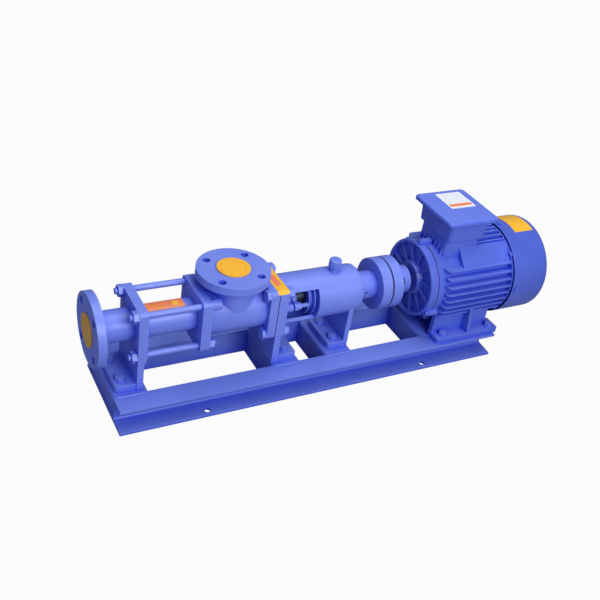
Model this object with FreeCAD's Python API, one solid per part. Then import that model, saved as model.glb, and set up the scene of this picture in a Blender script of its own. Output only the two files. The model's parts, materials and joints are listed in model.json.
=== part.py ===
import FreeCAD, Part
import math
import os
from FreeCAD import Vector

# Progressive cavity pump with its motor on a channel base, in millimetres.
# X runs along the pump axis from the discharge flange to the motor, Y to the back, Z up.
# The origin lies on the floor plane, at the centre of the four anchor holes.

# Base frame
base_length = 960.0
base_width = 240.0
rail_height = 63.0
rail_flange = 50.0
rail_web = 5.0
rail_toe = 5.5
rail_root = 9.0
rail_fillet = 6.0
anchor_spacing_x = 564.0
anchor_spacing_y = 210.0
anchor_hole = 14.0
cross_wall = 5.0
cross_bend = 8.0
cross_margin = 4.0

# Heights of the pump and motor centre line over their own feet
pump_centre_height = 115.0
motor_centre_height = 112.0
pump_packing = 15.0
axis_height = rail_height + pump_packing + pump_centre_height
motor_packing = axis_height - rail_height - motor_centre_height

# Running, seating and clearance gaps
fit_gap = 0.04
run_gap = 0.05
soft_gap = 0.3
bolt_gap = 0.5

# Connection flanges, nominal bore 50
flange_outer = 160.0
flange_thickness = 18.0
flange_circle = 125.0
flange_hole = 18.0
flange_hole_count = 4
port_bore = 50.0
port_wall = 5.0

# Discharge body
neck_length = 68.6
flare_length = 20.0
plate_half_width = 61.0
plate_half_height = 57.0
plate_corner = 14.0
discharge_plate = 20.0
leg_half_width = 50.0
foot_thickness = 14.0
foot_half_width = 68.0
foot_length = 70.0
foot_bolt = 12.0
foot_inset = 2.0

# Stator, rotor and the eccentric motion between them
stator_gap = 115.0
stator_outer = 70.0
stator_wall = 4.0
stator_seat = 9.0
rotor_radius = 15.0
eccentricity = 6.0
rotor_pitch = 60.0
rotor_clearance = 0.3
rotor_overrun = 6.0
rotor_head_radius = 18.0
sections_per_turn = 12

# Tie rods
tie_rod = 12.0
tie_rod_offset = 45.0
tie_rod_overhang = 20.0

# Suction casing
inlet_plate = 22.0
casing_length = 133.0
casing_radius = 52.0
casing_wall = 7.0
outlet_plate = 20.0
suction_offset = 65.5
suction_height = 99.5
nozzle_blend = 14.0
drain_plug_size = 14.0

# Bearing frame
gasket = 1.0
frame_plate = 22.0
frame_length = 190.0
frame_radius = 56.0
frame_wall = 8.0
window_length = 80.0
window_angle = 45.0
housing_wall = 10.0
end_cover = 8.0
frame_foot_length = 67.0
pedestal_start = 120.0
pedestal_length = 62.0
pedestal_web = 12.0
pedestal_half_width = 50.0

# Shaft line
seal_shaft = 40.0
bearing_shaft = 35.0
coupling_shaft = 30.0
bearing_outer = 72.0
bearing_width = 17.0
bearing_spacer = 54.0
ball_share = 0.6
ball_count = 9
seal_outer = 52.0
lock_nut_width = 8.0
slinger_radius = 30.0
slinger_width = 4.0

# Connecting rod
rod_radius = 7.0
rod_ball = 10.0
rod_length = 96.0
rod_pin = 8.0
socket_radius = 12.3
socket_depth = 12.0
socket_back = 12.0

# Stuffing box and gland
packing_size = 8.0
packing_count = 5
box_wall = 6.0
box_flange_radius = 44.0
box_flange_width = 8.0
box_nose = 33.0
throat_length = 10.0
box_length = 78.0
lug_thickness = 14.0
gland_stud = 10.0
stud_offset = 38.0
gland_travel = 12.0
gland_flange = 10.0
gland_gap = 4.0

# Flexible coupling
cover_gap = 3.0
hub_radius = 33.0
pump_hub_length = 47.0
coupling_radius = 61.6
coupling_flange = 27.0
coupling_element = 3.0
motor_hub_length = 38.0
coupling_circle = 90.0
coupling_pin_count = 6
coupling_pin = 12.0
coupling_bush = 20.0
key_width = 8.0
key_height = 7.0
shaft_end_setback = 2.0

# Motor, frame size 112
motor_shaft = 28.0
motor_shaft_length = 60.0
motor_stand_off = 80.5
foot_hole_from_shoulder = 70.0
foot_hole_pitch = 140.0
foot_hole_spacing = 190.0
motor_foot_length = 190.0
motor_foot_outer = 115.0
motor_foot_width = 46.0
motor_foot_thickness = 13.0
motor_foot_hole = 12.0
motor_core_radius = 94.0
motor_fin_radius = 112.0
motor_wall = 6.0
shield_depth = 23.0
shield_boss = 38.0
shield_web = 9.0
shield_rib_count = 12
shield_rib = 5.0
motor_frame_length = 202.0
fin_start = 16.0
fin_curl = 12.0
fin_spacing = 18.0
fin_thickness = 4.0
side_fin_count = 8
top_fin_count = 7
plate_pad_distance = 107.0
plate_pad_width = 47.0
plate_pad_length = 117.0
plate_pad_start = 65.0
motor_bearing_bore = 30.0
motor_bearing_outer = 62.0
motor_bearing_width = 16.0
core_length = 120.0
core_start = 45.0
air_gap_radius = 55.0
winding_length = 24.0
rear_shield = 20.0
lug_radius = 106.0
lug_size = 9.0

# Fan and its cover
cover_radius = 117.0
cover_wall = 2.0
cover_length = 98.0
cover_start = 10.0
cover_round = 16.0
cover_lug_start = 12.0
cover_lug_length = 10.0
fan_radius = 92.0
fan_blades = 7
fan_width = 42.0
fan_gap = 6.0
grille_slots = 24

# Terminal box
box_x_from_joint = 69.5
lid_length = 142.0
lid_width = 154.0
lid_thickness = 14.0
lid_top = 179.0
lid_corner = 10.0
box_top_length = 122.0
box_top_width = 140.0
box_foot_length = 104.0
box_foot_width = 128.0
box_height = 38.0
box_side_wall = 4.0
box_tower_length = 84.0
box_tower_width = 96.0
cable_entry = 20.0

# Grease cup
cup_x_from_plate = 141.0
cup_radius = 14.0
cup_stem = 6.0
cup_cap_height = 26.0
cup_neck = 10.0

# Caps in the ports
cap_radius = 36.5
cap_lip = 3.0
cap_depth = 12.0

# Stations along the pump axis, from the discharge end to the fan cover
base_left = -base_length / 2
base_right = base_length / 2
foot_left = base_left + foot_inset
plate_one_right = foot_left + foot_length
plate_one_left = plate_one_right - discharge_plate
discharge_face = plate_one_left - neck_length - flange_thickness
plate_two_left = plate_one_right + stator_gap
plate_two_right = plate_two_left + inlet_plate
plate_three_left = plate_two_right + casing_length
plate_three_right = plate_three_left + outlet_plate
plate_four_left = plate_three_right + gasket
plate_four_right = plate_four_left + frame_plate
window_end = plate_four_right + window_length
frame_end = plate_four_right + frame_length
cover_end = frame_end + end_cover
pump_hub_start = cover_end + cover_gap
pump_flange_start = pump_hub_start + pump_hub_length
element_start = pump_flange_start + coupling_flange
motor_flange_start = element_start + coupling_element
motor_hub_start = motor_flange_start + coupling_flange
motor_hub_end = motor_hub_start + motor_hub_length
shoulder = element_start + coupling_element / 2 + motor_stand_off
shield_joint = shoulder + shield_depth
motor_frame_end = shield_joint + motor_frame_length
rear_end = motor_frame_end + rear_shield
fan_cover_start = motor_frame_end + cover_start
fan_cover_end = fan_cover_start + cover_length
stator_left = plate_one_right - stator_seat
stator_right = plate_two_left + stator_seat
suction_x = plate_two_right + suction_offset
suction_face = axis_height + suction_height
suction_flange_bottom = suction_face - flange_thickness
foot_bottom = axis_height - pump_centre_height
frame_foot_right = plate_four_left + frame_foot_length
pedestal_left = plate_four_right + pedestal_start
pedestal_right = pedestal_left + pedestal_length
motor_foot_left = shoulder + foot_hole_from_shoulder + foot_hole_pitch / 2 - motor_foot_length / 2
motor_foot_right = motor_foot_left + motor_foot_length
motor_foot_bottom = axis_height - motor_centre_height
bearing_one = window_end + housing_wall
bearing_two = bearing_one + bearing_width + bearing_spacer
lid_x = shield_joint + box_x_from_joint
box_top_z = axis_height + lid_top - lid_thickness
box_bottom_z = box_top_z - box_height
box_left = plate_four_left + box_flange_width - box_nose - box_flange_width
box_right = box_left + box_length
packing_start = box_left + throat_length
packing_end = packing_start + packing_size * packing_count
gland_flange_left = box_right + gland_gap
shaft_left = box_left - 22.0
drive_joint = shaft_left + socket_depth
rotor_joint = drive_joint - math.sqrt(rod_length ** 2 - eccentricity ** 2)
shaft_right = element_start - shaft_end_setback

AXIS = Vector(1, 0, 0)
UP = Vector(0, 0, 1)
BACK = Vector(0, 1, 0)


def rod_x(radius, x0, x1, y=0.0, z=axis_height):
    return Part.makeCylinder(radius, x1 - x0, Vector(x0, y, z), AXIS)


def rod_y(radius, y0, y1, x, z):
    return Part.makeCylinder(radius, y1 - y0, Vector(x, y0, z), BACK)


def rod_z(radius, z0, z1, x, y):
    return Part.makeCylinder(radius, z1 - z0, Vector(x, y, z0), UP)


def tube_x(outer, inner, x0, x1, y=0.0, z=axis_height):
    return rod_x(outer, x0, x1, y, z).cut(rod_x(inner, x0 - 1, x1 + 1, y, z))


def block(x0, x1, y0, y1, z0, z1):
    return Part.makeBox(x1 - x0, y1 - y0, z1 - z0, Vector(x0, y0, z0))


def turned(points, z=axis_height):
    # A closed outline of (x, radius) points, turned about the pump axis
    corners = [Vector(x, 0, z + radius) for x, radius in points]
    face = Part.Face(Part.makePolygon(corners + corners[:1]))
    return face.revolve(Vector(0, 0, z), AXIS, 360)


def turned_up(points, x, y):
    # A closed outline of (radius, z) points, turned about a vertical axis
    corners = [Vector(x + radius, y, z) for radius, z in points]
    face = Part.Face(Part.makePolygon(corners + corners[:1]))
    return face.revolve(Vector(x, y, 0), UP, 360)


def plate_x(half_width, half_height, corner, x0, x1, z=axis_height):
    # A rectangular plate across the axis with round corners
    plate = block(x0, x1, -half_width, half_width, z - half_height, z + half_height)
    edges = [edge for edge in plate.Edges if abs(edge.tangentAt(edge.FirstParameter).x) > 0.9]
    return plate.makeFillet(corner, edges)


def rounded_block(x0, x1, y0, y1, z0, z1, corner):
    # A block with its four upright edges rounded
    solid = block(x0, x1, y0, y1, z0, z1)
    edges = [edge for edge in solid.Edges if abs(edge.tangentAt(edge.FirstParameter).z) > 0.9]
    return solid.makeFillet(corner, edges)


def hexagon(width, start, direction, length):
    # A hexagonal prism, width across flats, from start along direction
    radius = width / math.sqrt(3)
    across = BACK if abs(direction.y) < 0.5 else AXIS
    side = direction.cross(across)
    corners = []
    for step in range(6):
        angle = math.pi / 3 * step
        corners.append(start + across * (radius * math.cos(angle)) + side * (radius * math.sin(angle)))
    face = Part.Face(Part.makePolygon(corners + corners[:1]))
    return face.extrude(direction * length)


def union(solids):
    return solids[0].fuse(solids[1:]).removeSplitter()


def around(count, radius, start=0.0, z=axis_height):
    # Points on a circle about the pump axis, as (y, z), with their angles in degrees
    points = []
    for step in range(count):
        angle = start + 360.0 * step / count
        turn = math.radians(angle)
        points.append((radius * math.cos(turn), z + radius * math.sin(turn), angle))
    return points


def turn_about_axis(shape, angle, z=axis_height):
    moved = shape.copy()
    moved.rotate(Vector(0, 0, z), AXIS, angle)
    return moved


def save(name, *solids):
    shape = solids[0] if len(solids) == 1 else Part.makeCompound(list(solids))
    shape.exportStep("parts/" + name + ".step")


# Base frame


def base_rail(side):
    # A rolled channel with its web inside and its flanges outward
    inner = base_width / 2 - rail_flange
    outline = [
        (inner, 0),
        (inner + rail_flange, 0),
        (inner + rail_flange, rail_toe),
        (inner + rail_web, rail_root),
        (inner + rail_web, rail_height - rail_root),
        (inner + rail_flange, rail_height - rail_toe),
        (inner + rail_flange, rail_height),
        (inner, rail_height),
    ]
    corners = [Vector(base_left, side * y, z) for y, z in outline]
    rail = Part.Face(Part.makePolygon(corners + corners[:1])).extrude(Vector(base_length, 0, 0))
    root = [
        edge for edge in rail.Edges
        if edge.Length > base_length - 1
        and abs(abs(edge.CenterOfMass.y) - inner - rail_web) < 0.1
    ]
    rail = rail.makeFillet(rail_fillet, root)
    for x in (-anchor_spacing_x / 2, anchor_spacing_x / 2):
        rail = rail.cut(rod_z(anchor_hole / 2, -1, rail_root + 2, x, side * anchor_spacing_y / 2))
    for x in motor_bolt_places():
        rail = rail.cut(
            rod_z(motor_foot_hole / 2, rail_height / 2, rail_height + 1, x, side * foot_hole_spacing / 2)
        )
    return rail


def cross_member(x0, x1, bolt_places):
    # A pressed channel laid with its web up, between the rails
    half = base_width / 2 - rail_flange
    outer = block(x0, x1, -half, half, 0, rail_height)
    edges = [
        edge for edge in outer.Edges
        if abs(edge.tangentAt(edge.FirstParameter).y) > 0.9 and edge.CenterOfMass.z > rail_height / 2
    ]
    outer = outer.makeFillet(cross_bend, edges)
    inner = block(x0 + cross_wall, x1 - cross_wall, -half - 1, half + 1, -1, rail_height - cross_wall)
    member = outer.cut(inner)
    for x, y in bolt_places:
        member = member.cut(rod_z(foot_bolt / 2 + bolt_gap, rail_height / 2, rail_height + 1, x, y))
    return member


def motor_bolt_places():
    first = shoulder + foot_hole_from_shoulder
    return (first, first + foot_hole_pitch)


# Places of the bolts that hold the pump's three feet, on the centre line of each foot
discharge_bolts = [(foot_left + (foot_length - discharge_plate) / 2, side * leg_half_width * 0.5) for side in (-1, 1)]
frame_bolts = [
    (plate_four_right + (frame_foot_length - frame_plate) / 2, side * leg_half_width * 0.7) for side in (-1, 1)
]
pedestal_bolts = [
    (pedestal_left + (pedestal_length - pedestal_web) / 2, side * pedestal_half_width * 0.56) for side in (-1, 1)
]


def packing_plate(x0, x1, bolt_places):
    plate = block(x0, x1, -foot_half_width, foot_half_width, rail_height, foot_bottom)
    for x, y in bolt_places:
        plate = plate.cut(rod_z(foot_bolt / 2 + bolt_gap, rail_height - 1, foot_bottom + 1, x, y))
    return plate


def motor_packing_bar(side):
    y_outer = side * motor_foot_outer
    y_inner = side * (motor_foot_outer - motor_foot_width)
    low = min(y_outer, y_inner)
    high = max(y_outer, y_inner)
    bar = block(motor_foot_left, motor_foot_right, low, high, rail_height, motor_foot_bottom)
    for x in motor_bolt_places():
        hole = rod_z(motor_foot_hole / 2, rail_height - 1, motor_foot_bottom + 1, x, side * foot_hole_spacing / 2)
        bar = bar.cut(hole)
    return bar


def bolt_down(size, x, y, top, bottom, washer):
    # A hexagon bolt from above with its washer, and its nut below, as three solids
    head = hexagon(size * 1.5, Vector(x, y, top + washer), UP, size * 0.65)
    shank = rod_z(size / 2 - bolt_gap / 2, bottom - size * 1.2, top + washer + 1, x, y)
    bolt = head.fuse(shank)
    ring = rod_z(size, top, top + washer, x, y).cut(rod_z(size / 2, top - 1, top + washer + 1, x, y))
    nut = hexagon(size * 1.5, Vector(x, y, bottom - size * 0.8), UP, size * 0.8)
    nut = nut.cut(rod_z(size / 2, bottom - size, bottom + 1, x, y))
    return [bolt, ring, nut]


# Pump body


def port_flange_x(x0, x1):
    disc = rod_x(flange_outer / 2, x0, x1)
    for y, z, angle in around(flange_hole_count, flange_circle / 2, 45):
        disc = disc.cut(rod_x(flange_hole / 2, x0 - 1, x1 + 1, y, z))
    return disc


def foot_and_leg(x0, x1, leg_x0, leg_x1, half_leg, bolt_places):
    # A bolted foot with the plate that rises from it to the pump axis
    foot = rounded_block(
        x0, x1, -foot_half_width, foot_half_width, foot_bottom, foot_bottom + foot_thickness, 8
    )
    leg = block(leg_x0, leg_x1, -half_leg, half_leg, foot_bottom, axis_height)
    solid = foot.fuse(leg)
    for x, y in bolt_places:
        solid = solid.cut(rod_z(foot_bolt / 2 + bolt_gap, foot_bottom - 1, foot_bottom + foot_thickness + 1, x, y))
    return solid


def tie_rod_places():
    places = []
    for y in (-tie_rod_offset, tie_rod_offset):
        for z in (-tie_rod_offset, tie_rod_offset):
            places.append((y, axis_height + z))
    return places


def discharge_body():
    neck = port_bore / 2 + port_wall
    wide = flare_radius()
    flange = port_flange_x(discharge_face, discharge_face + flange_thickness)
    barrel = turned([
        (discharge_face + 1, 0),
        (discharge_face + 1, neck),
        (discharge_face + flange_thickness, neck + 4),
        (discharge_face + flange_thickness + 4, neck),
        (plate_one_left - flare_length, neck),
        (plate_one_left, wide + port_wall),
        (plate_one_left + 1, wide + port_wall),
        (plate_one_left + 1, 0),
    ])
    plate = plate_x(plate_half_width, plate_half_height, plate_corner, plate_one_left, plate_one_right)
    stand = foot_and_leg(
        foot_left, plate_one_right, plate_one_left, plate_one_right, leg_half_width, discharge_bolts
    )
    rib = block(foot_left + 14, plate_one_left, -6, 6, foot_bottom, foot_bottom + foot_thickness + 1)
    body = union([plate, flange, barrel, stand, rib])
    bore = turned([
        (discharge_face - 1, 0),
        (discharge_face - 1, port_bore / 2),
        (plate_one_left - flare_length, port_bore / 2),
        (plate_one_left, wide),
        (stator_left, wide),
        (stator_left, stator_outer / 2 + fit_gap),
        (plate_one_right + 1, stator_outer / 2 + fit_gap),
        (plate_one_right + 1, 0),
    ])
    body = body.cut(bore)
    for y, z in tie_rod_places():
        body = body.cut(rod_x(tie_rod / 2 + bolt_gap, plate_one_left - 1, plate_one_right + 1, y, z))
    return body


def flare_radius():
    # Room for the rotor's end as it sweeps
    return 2 * eccentricity + rotor_radius + 3


def stator_tube():
    return tube_x(stator_outer / 2, stator_outer / 2 - stator_wall, stator_left, stator_right)


def helix_angle(x):
    return 2 * math.pi * (x - stator_left) / rotor_pitch


def stator_slot(x, grow):
    # The slot of one section: two half circles joined by straight flanks
    turn = math.pi / 2 + helix_angle(x) / 2
    along = Vector(0, math.cos(turn), math.sin(turn))
    across = Vector(0, -math.sin(turn), math.cos(turn))
    centre = Vector(x, 0, axis_height)
    reach = 2 * eccentricity
    radius = rotor_radius + grow
    a = centre + along * reach + across * radius
    b = centre - along * reach + across * radius
    c = centre - along * reach - across * radius
    d = centre + along * reach - across * radius
    left_tip = centre - along * (reach + radius)
    right_tip = centre + along * (reach + radius)
    edges = [
        Part.makeLine(a, b),
        Part.Arc(b, left_tip, c).toShape(),
        Part.makeLine(c, d),
        Part.Arc(d, right_tip, a).toShape(),
    ]
    return Part.Wire(edges)


def sections(x0, x1):
    step = rotor_pitch / sections_per_turn
    count = int(math.ceil((x1 - x0) / step))
    return [x0 + (x1 - x0) * index / count for index in range(count + 1)]


def stator_rubber():
    lining = rod_x(stator_outer / 2 - stator_wall - fit_gap, stator_left, stator_right)
    places = sections(stator_left - 1, stator_right + 1)
    cavity = Part.makeLoft([stator_slot(x, rotor_clearance) for x in places], True, False)
    return lining.cut(cavity)


def rotor_axis_z():
    return axis_height + eccentricity


def rotor():
    # A single start screw: a circle whose centre winds round the rotor axis
    x0 = stator_left - rotor_overrun
    x1 = stator_right + rotor_overrun
    circles = []
    for x in sections(x0, x1):
        turn = math.pi / 2 + helix_angle(x)
        centre = Vector(x, eccentricity * math.cos(turn), rotor_axis_z() + eccentricity * math.sin(turn))
        circles.append(Part.Wire(Part.makeCircle(rotor_radius, centre, AXIS)))
    screw = Part.makeLoft(circles, True, False)
    head = rod_x(rotor_head_radius, x1 - 3, rotor_joint + socket_depth, 0, rotor_axis_z())
    body = screw.fuse(head)
    return body.cut(rod_x(socket_radius, rotor_joint - socket_back, rotor_joint + socket_depth + 1, 0, rotor_axis_z()))


def connecting_rod():
    start = Vector(rotor_joint, 0, rotor_axis_z())
    end = Vector(drive_joint, 0, axis_height)
    line = end.sub(start)
    bar = Part.makeCylinder(rod_radius, line.Length, start, line)
    solid = bar.fuse([Part.makeSphere(rod_ball, start), Part.makeSphere(rod_ball, end)])
    for centre in (start, end):
        solid = solid.cut(rod_y(rod_pin / 2, -rod_ball - 1, rod_ball + 1, centre.x, centre.z))
    return solid


def rod_pins():
    reach = math.sqrt((socket_radius - soft_gap) ** 2 - (rod_pin / 2) ** 2)
    radius = rod_pin / 2 - fit_gap
    return [
        rod_y(radius, -reach, reach, rotor_joint, rotor_axis_z()),
        rod_y(radius, -reach, reach, drive_joint, axis_height),
    ]


def tie_rods():
    x0 = plate_one_left - tie_rod_overhang
    x1 = plate_two_right + tie_rod_overhang - 2
    rods = []
    for y, z in tie_rod_places():
        rods.append(rod_x(tie_rod / 2, x0, x1, y, z))
    return rods


def nut_x(size, x, y, z, direction, thickness=0.8):
    nut = hexagon(size * 1.6, Vector(x, y, z), AXIS * direction, size * thickness)
    hole = Part.makeCylinder(size / 2 + fit_gap, size * 2, Vector(x - size, y, z), AXIS)
    return nut.cut(hole)


def tie_rod_nuts():
    nuts = []
    for y, z in tie_rod_places():
        nuts.append(nut_x(tie_rod, plate_one_left, y, z, -1))
        nuts.append(nut_x(tie_rod, plate_two_right, y, z, 1))
    return nuts


def suction_casing():
    # Barrel between two square plates, with the suction nozzle on top
    plate_in = plate_x(plate_half_width, plate_half_height, plate_corner, plate_two_left, plate_two_right)
    plate_out = plate_x(plate_half_width, plate_half_height, plate_corner, plate_three_left, plate_three_right)
    barrel = rod_x(casing_radius, plate_two_right - 1, plate_three_left + 1)
    nozzle_radius = port_bore / 2 + 2 * port_wall
    nozzle = turned_up([
        (0, axis_height),
        (nozzle_radius + nozzle_blend, axis_height),
        (nozzle_radius + nozzle_blend, axis_height + casing_radius * 0.7),
        (nozzle_radius, suction_flange_bottom - 8),
        (nozzle_radius, suction_flange_bottom - 3),
        (nozzle_radius + 4, suction_flange_bottom + 1),
        (0, suction_flange_bottom + 1),
    ], suction_x, 0)
    disc = rod_z(flange_outer / 2, suction_flange_bottom, suction_face, suction_x, 0)
    for step in range(flange_hole_count):
        angle = math.radians(45 + 360.0 * step / flange_hole_count)
        x = suction_x + flange_circle / 2 * math.cos(angle)
        y = flange_circle / 2 * math.sin(angle)
        disc = disc.cut(rod_z(flange_hole / 2, suction_flange_bottom - 1, suction_face + 1, x, y))
    body = union([barrel, nozzle, plate_in, plate_out, disc])
    inside = casing_radius - casing_wall
    bore = turned([
        (plate_two_left - 1, 0),
        (plate_two_left - 1, stator_outer / 2 + fit_gap),
        (stator_right, stator_outer / 2 + fit_gap),
        (stator_right, flare_radius()),
        (plate_two_right, flare_radius()),
        (plate_two_right + 8, inside),
        (plate_three_right + 1, inside),
        (plate_three_right + 1, 0),
    ])
    body = body.cut(bore)
    body = body.cut(rod_z(port_bore / 2, axis_height, suction_face + 1, suction_x, 0))
    for y, z in tie_rod_places():
        body = body.cut(rod_x(tie_rod / 2 + bolt_gap, plate_two_left - 1, plate_two_right + 1, y, z))
        body = body.cut(rod_x(tie_rod / 2 + bolt_gap, plate_three_left - 1, plate_three_right + 1, y, z))
    bottom = axis_height - casing_radius
    boss = rod_z(drain_plug_size, bottom - 4, bottom + casing_wall, suction_x, 0)
    body = body.fuse(boss)
    return body.cut(rod_z(drain_plug_size / 2, bottom - 10, bottom + casing_wall + 10, suction_x, 0))


def drain_plug():
    bottom = axis_height - casing_radius - 4
    shank = rod_z(drain_plug_size / 2 - fit_gap, bottom - 1, bottom + casing_wall + 3, suction_x, 0)
    head = hexagon(drain_plug_size + 3, Vector(suction_x, 0, bottom - 8), UP, 8)
    return shank.fuse(head)


def port_cap_x():
    # A push-in plastic cap: lip, hollow plug
    lip = rod_x(cap_radius, discharge_face - cap_lip, discharge_face)
    plug = rod_x(port_bore / 2 - soft_gap, discharge_face - 1, discharge_face + cap_depth)
    hollow = rod_x(port_bore / 2 - 3, discharge_face, discharge_face + cap_depth + 1)
    return lip.fuse(plug).cut(hollow)


def port_cap_z():
    lip = rod_z(cap_radius, suction_face, suction_face + cap_lip, suction_x, 0)
    plug = rod_z(port_bore / 2 - soft_gap, suction_face - cap_depth, suction_face + 1, suction_x, 0)
    hollow = rod_z(port_bore / 2 - 3, suction_face - cap_depth - 1, suction_face, suction_x, 0)
    return lip.fuse(plug).cut(hollow)


# Stuffing box


def stuffing_box():
    inner = seal_shaft / 2 + packing_size
    outer = inner + box_wall
    flange_left = plate_four_left
    body = turned([
        (box_left, 0),
        (box_left, outer),
        (flange_left, outer),
        (flange_left, box_flange_radius),
        (flange_left + box_flange_width, box_flange_radius),
        (flange_left + box_flange_width, outer),
        (box_right, outer),
        (box_right, 0),
    ])
    lugs = rod_x(gland_stud, box_right - lug_thickness, box_right, -stud_offset)
    lugs = lugs.fuse(rod_x(gland_stud, box_right - lug_thickness, box_right, stud_offset))
    bridge = block(
        box_right - lug_thickness, box_right, -stud_offset, stud_offset,
        axis_height - gland_stud, axis_height + gland_stud
    )
    body = union([body, lugs, bridge])
    bore = turned([
        (box_left - 1, 0),
        (box_left - 1, seal_shaft / 2 + soft_gap),
        (packing_start, seal_shaft / 2 + soft_gap),
        (packing_start, inner),
        (box_right + 1, inner),
        (box_right + 1, 0),
    ])
    body = body.cut(bore)
    for y in (-stud_offset, stud_offset):
        body = body.cut(rod_x(gland_stud / 2, box_right - lug_thickness + 3, box_right + 1, y))
    return body


def packing_rings():
    rings = []
    for index in range(packing_count):
        x0 = packing_start + packing_size * index
        rings.append(
            tube_x(seal_shaft / 2 + packing_size - fit_gap, seal_shaft / 2 + run_gap, x0, x0 + packing_size)
        )
    return rings


def packing_gland():
    # The follower: a nose that presses the rings, and an oval flange with two lugs
    left = gland_flange_left
    right = left + gland_flange
    nose = rod_x(seal_shaft / 2 + packing_size - soft_gap, packing_end + soft_gap, right)
    middle = rod_x(seal_shaft / 2 + packing_size + 5, left, right)
    ears = [rod_x(gland_stud, left, right, y) for y in (-stud_offset, stud_offset)]
    bridge = block(left, right, -stud_offset, stud_offset, axis_height - gland_stud, axis_height + gland_stud)
    body = union([middle, nose, bridge] + ears)
    body = body.cut(rod_x(seal_shaft / 2 + soft_gap, packing_end - 1, right + 1))
    for y in (-stud_offset, stud_offset):
        body = body.cut(rod_x(gland_stud / 2 + bolt_gap, left - 1, right + 1, y))
    return body


def gland_studs():
    x0 = box_right - lug_thickness + 3
    x1 = gland_flange_left + gland_flange + gland_stud + gland_travel + 4
    return [rod_x(gland_stud / 2 - fit_gap, x0, x1, y) for y in (-stud_offset, stud_offset)]


def gland_nuts():
    nuts = []
    for y in (-stud_offset, stud_offset):
        nuts.append(nut_x(gland_stud, gland_flange_left + gland_flange, y, axis_height, 1))
    return nuts


# Bearing frame


def bearing_frame():
    plate = plate_x(plate_half_width, plate_half_height, plate_corner, plate_four_left, plate_four_right)
    barrel = rod_x(frame_radius, plate_four_right - 1, frame_end)
    front_stand = foot_and_leg(
        plate_four_left, frame_foot_right, plate_four_left, plate_four_right, leg_half_width, frame_bolts
    )
    rear_stand = foot_and_leg(
        pedestal_left, pedestal_right, pedestal_right - pedestal_web, pedestal_right,
        pedestal_half_width, pedestal_bolts
    )
    front_rib = block(plate_four_right - 1, frame_foot_right - 6, -5, 5, foot_bottom, axis_height - frame_radius + 3)
    rear_rib = block(pedestal_left + 6, pedestal_right - 1, -5, 5, foot_bottom, axis_height - frame_radius + 3)
    cup_boss = rod_z(cup_stem + 4, axis_height, axis_height + frame_radius + 3, cup_x(), 0)
    body = union([barrel, plate, front_stand, rear_stand, front_rib, rear_rib, cup_boss])
    chamber = frame_radius - frame_wall
    bearing_seat = bearing_outer / 2 + fit_gap
    wall_hole = seal_outer / 2
    bore = turned([
        (plate_four_left - 1, 0),
        (plate_four_left - 1, box_flange_radius + fit_gap),
        (plate_four_left + box_flange_width, box_flange_radius + fit_gap),
        (plate_four_left + box_flange_width, box_flange_radius - 6),
        (plate_four_right - 2, box_flange_radius - 6),
        (plate_four_right - 2, chamber),
        (window_end, chamber),
        (window_end, wall_hole + fit_gap),
        (bearing_one, wall_hole + fit_gap),
        (bearing_one, bearing_seat),
        (bearing_one + bearing_width + 4, bearing_seat),
        (bearing_one + bearing_width + 8, bearing_seat + 5),
        (bearing_two - 8, bearing_seat + 5),
        (bearing_two - 4, bearing_seat),
        (frame_end + 1, bearing_seat),
        (frame_end + 1, 0),
    ])
    body = body.cut(bore)
    for side in (0, 180):
        body = body.cut(turn_about_axis(window(), side))
    for y, z in tie_rod_places():
        body = body.cut(rod_x(tie_rod / 2 + bolt_gap, plate_four_left - 1, plate_four_right + 1, y, z))
        body = body.cut(rod_x(tie_rod, plate_four_right, plate_four_right + tie_rod * 1.2, y, z))
    for y, z, angle in around(6, cover_bolt_circle(), 30):
        body = body.cut(rod_x(cover_bolt / 2, frame_end - 14, frame_end + 1, y, z))
    return body.cut(rod_z(cup_stem, axis_height + bearing_outer / 2 - 2, axis_height + frame_radius + 10, cup_x(), 0))


cover_bolt = 6.0


def cover_bolt_circle():
    return (bearing_outer / 2 + frame_radius) / 2


def window():
    # The wedge that opens one side of the barrel to the gland
    reach = frame_radius * 2
    low = math.radians(180 - window_angle)
    high = math.radians(180 + window_angle)
    corners = [
        Vector(plate_four_right, 0, axis_height),
        Vector(plate_four_right, reach * math.cos(low), axis_height + reach * math.sin(low)),
        Vector(plate_four_right, reach * math.cos(high), axis_height + reach * math.sin(high)),
    ]
    wedge = Part.Face(Part.makePolygon(corners + corners[:1])).extrude(Vector(window_length, 0, 0))
    return wedge


def cup_x():
    return plate_four_right + cup_x_from_plate


def flange_bolts():
    # Four bolts through the casing plate and the frame plate, heads on the casing side
    bolts = []
    for y, z in tie_rod_places():
        head = hexagon(tie_rod * 1.6, Vector(plate_three_left, y, z), AXIS * -1, tie_rod * 0.65)
        shank = rod_x(tie_rod / 2, plate_three_left - 1, plate_four_right + tie_rod * 1.1, y, z)
        bolts.append(head.fuse(shank))
    return bolts


def flange_nuts():
    return [nut_x(tie_rod, plate_four_right, y, z, 1) for y, z in tie_rod_places()]


def flange_gasket():
    ring = plate_x(plate_half_width - 1, plate_half_height - 1, plate_corner, plate_three_right, plate_four_left)
    ring = ring.cut(rod_x(casing_radius - casing_wall, plate_three_right - 1, plate_four_left + 1))
    for y, z in tie_rod_places():
        ring = ring.cut(rod_x(tie_rod / 2 + bolt_gap, plate_three_right - 1, plate_four_left + 1, y, z))
    return ring


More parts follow.
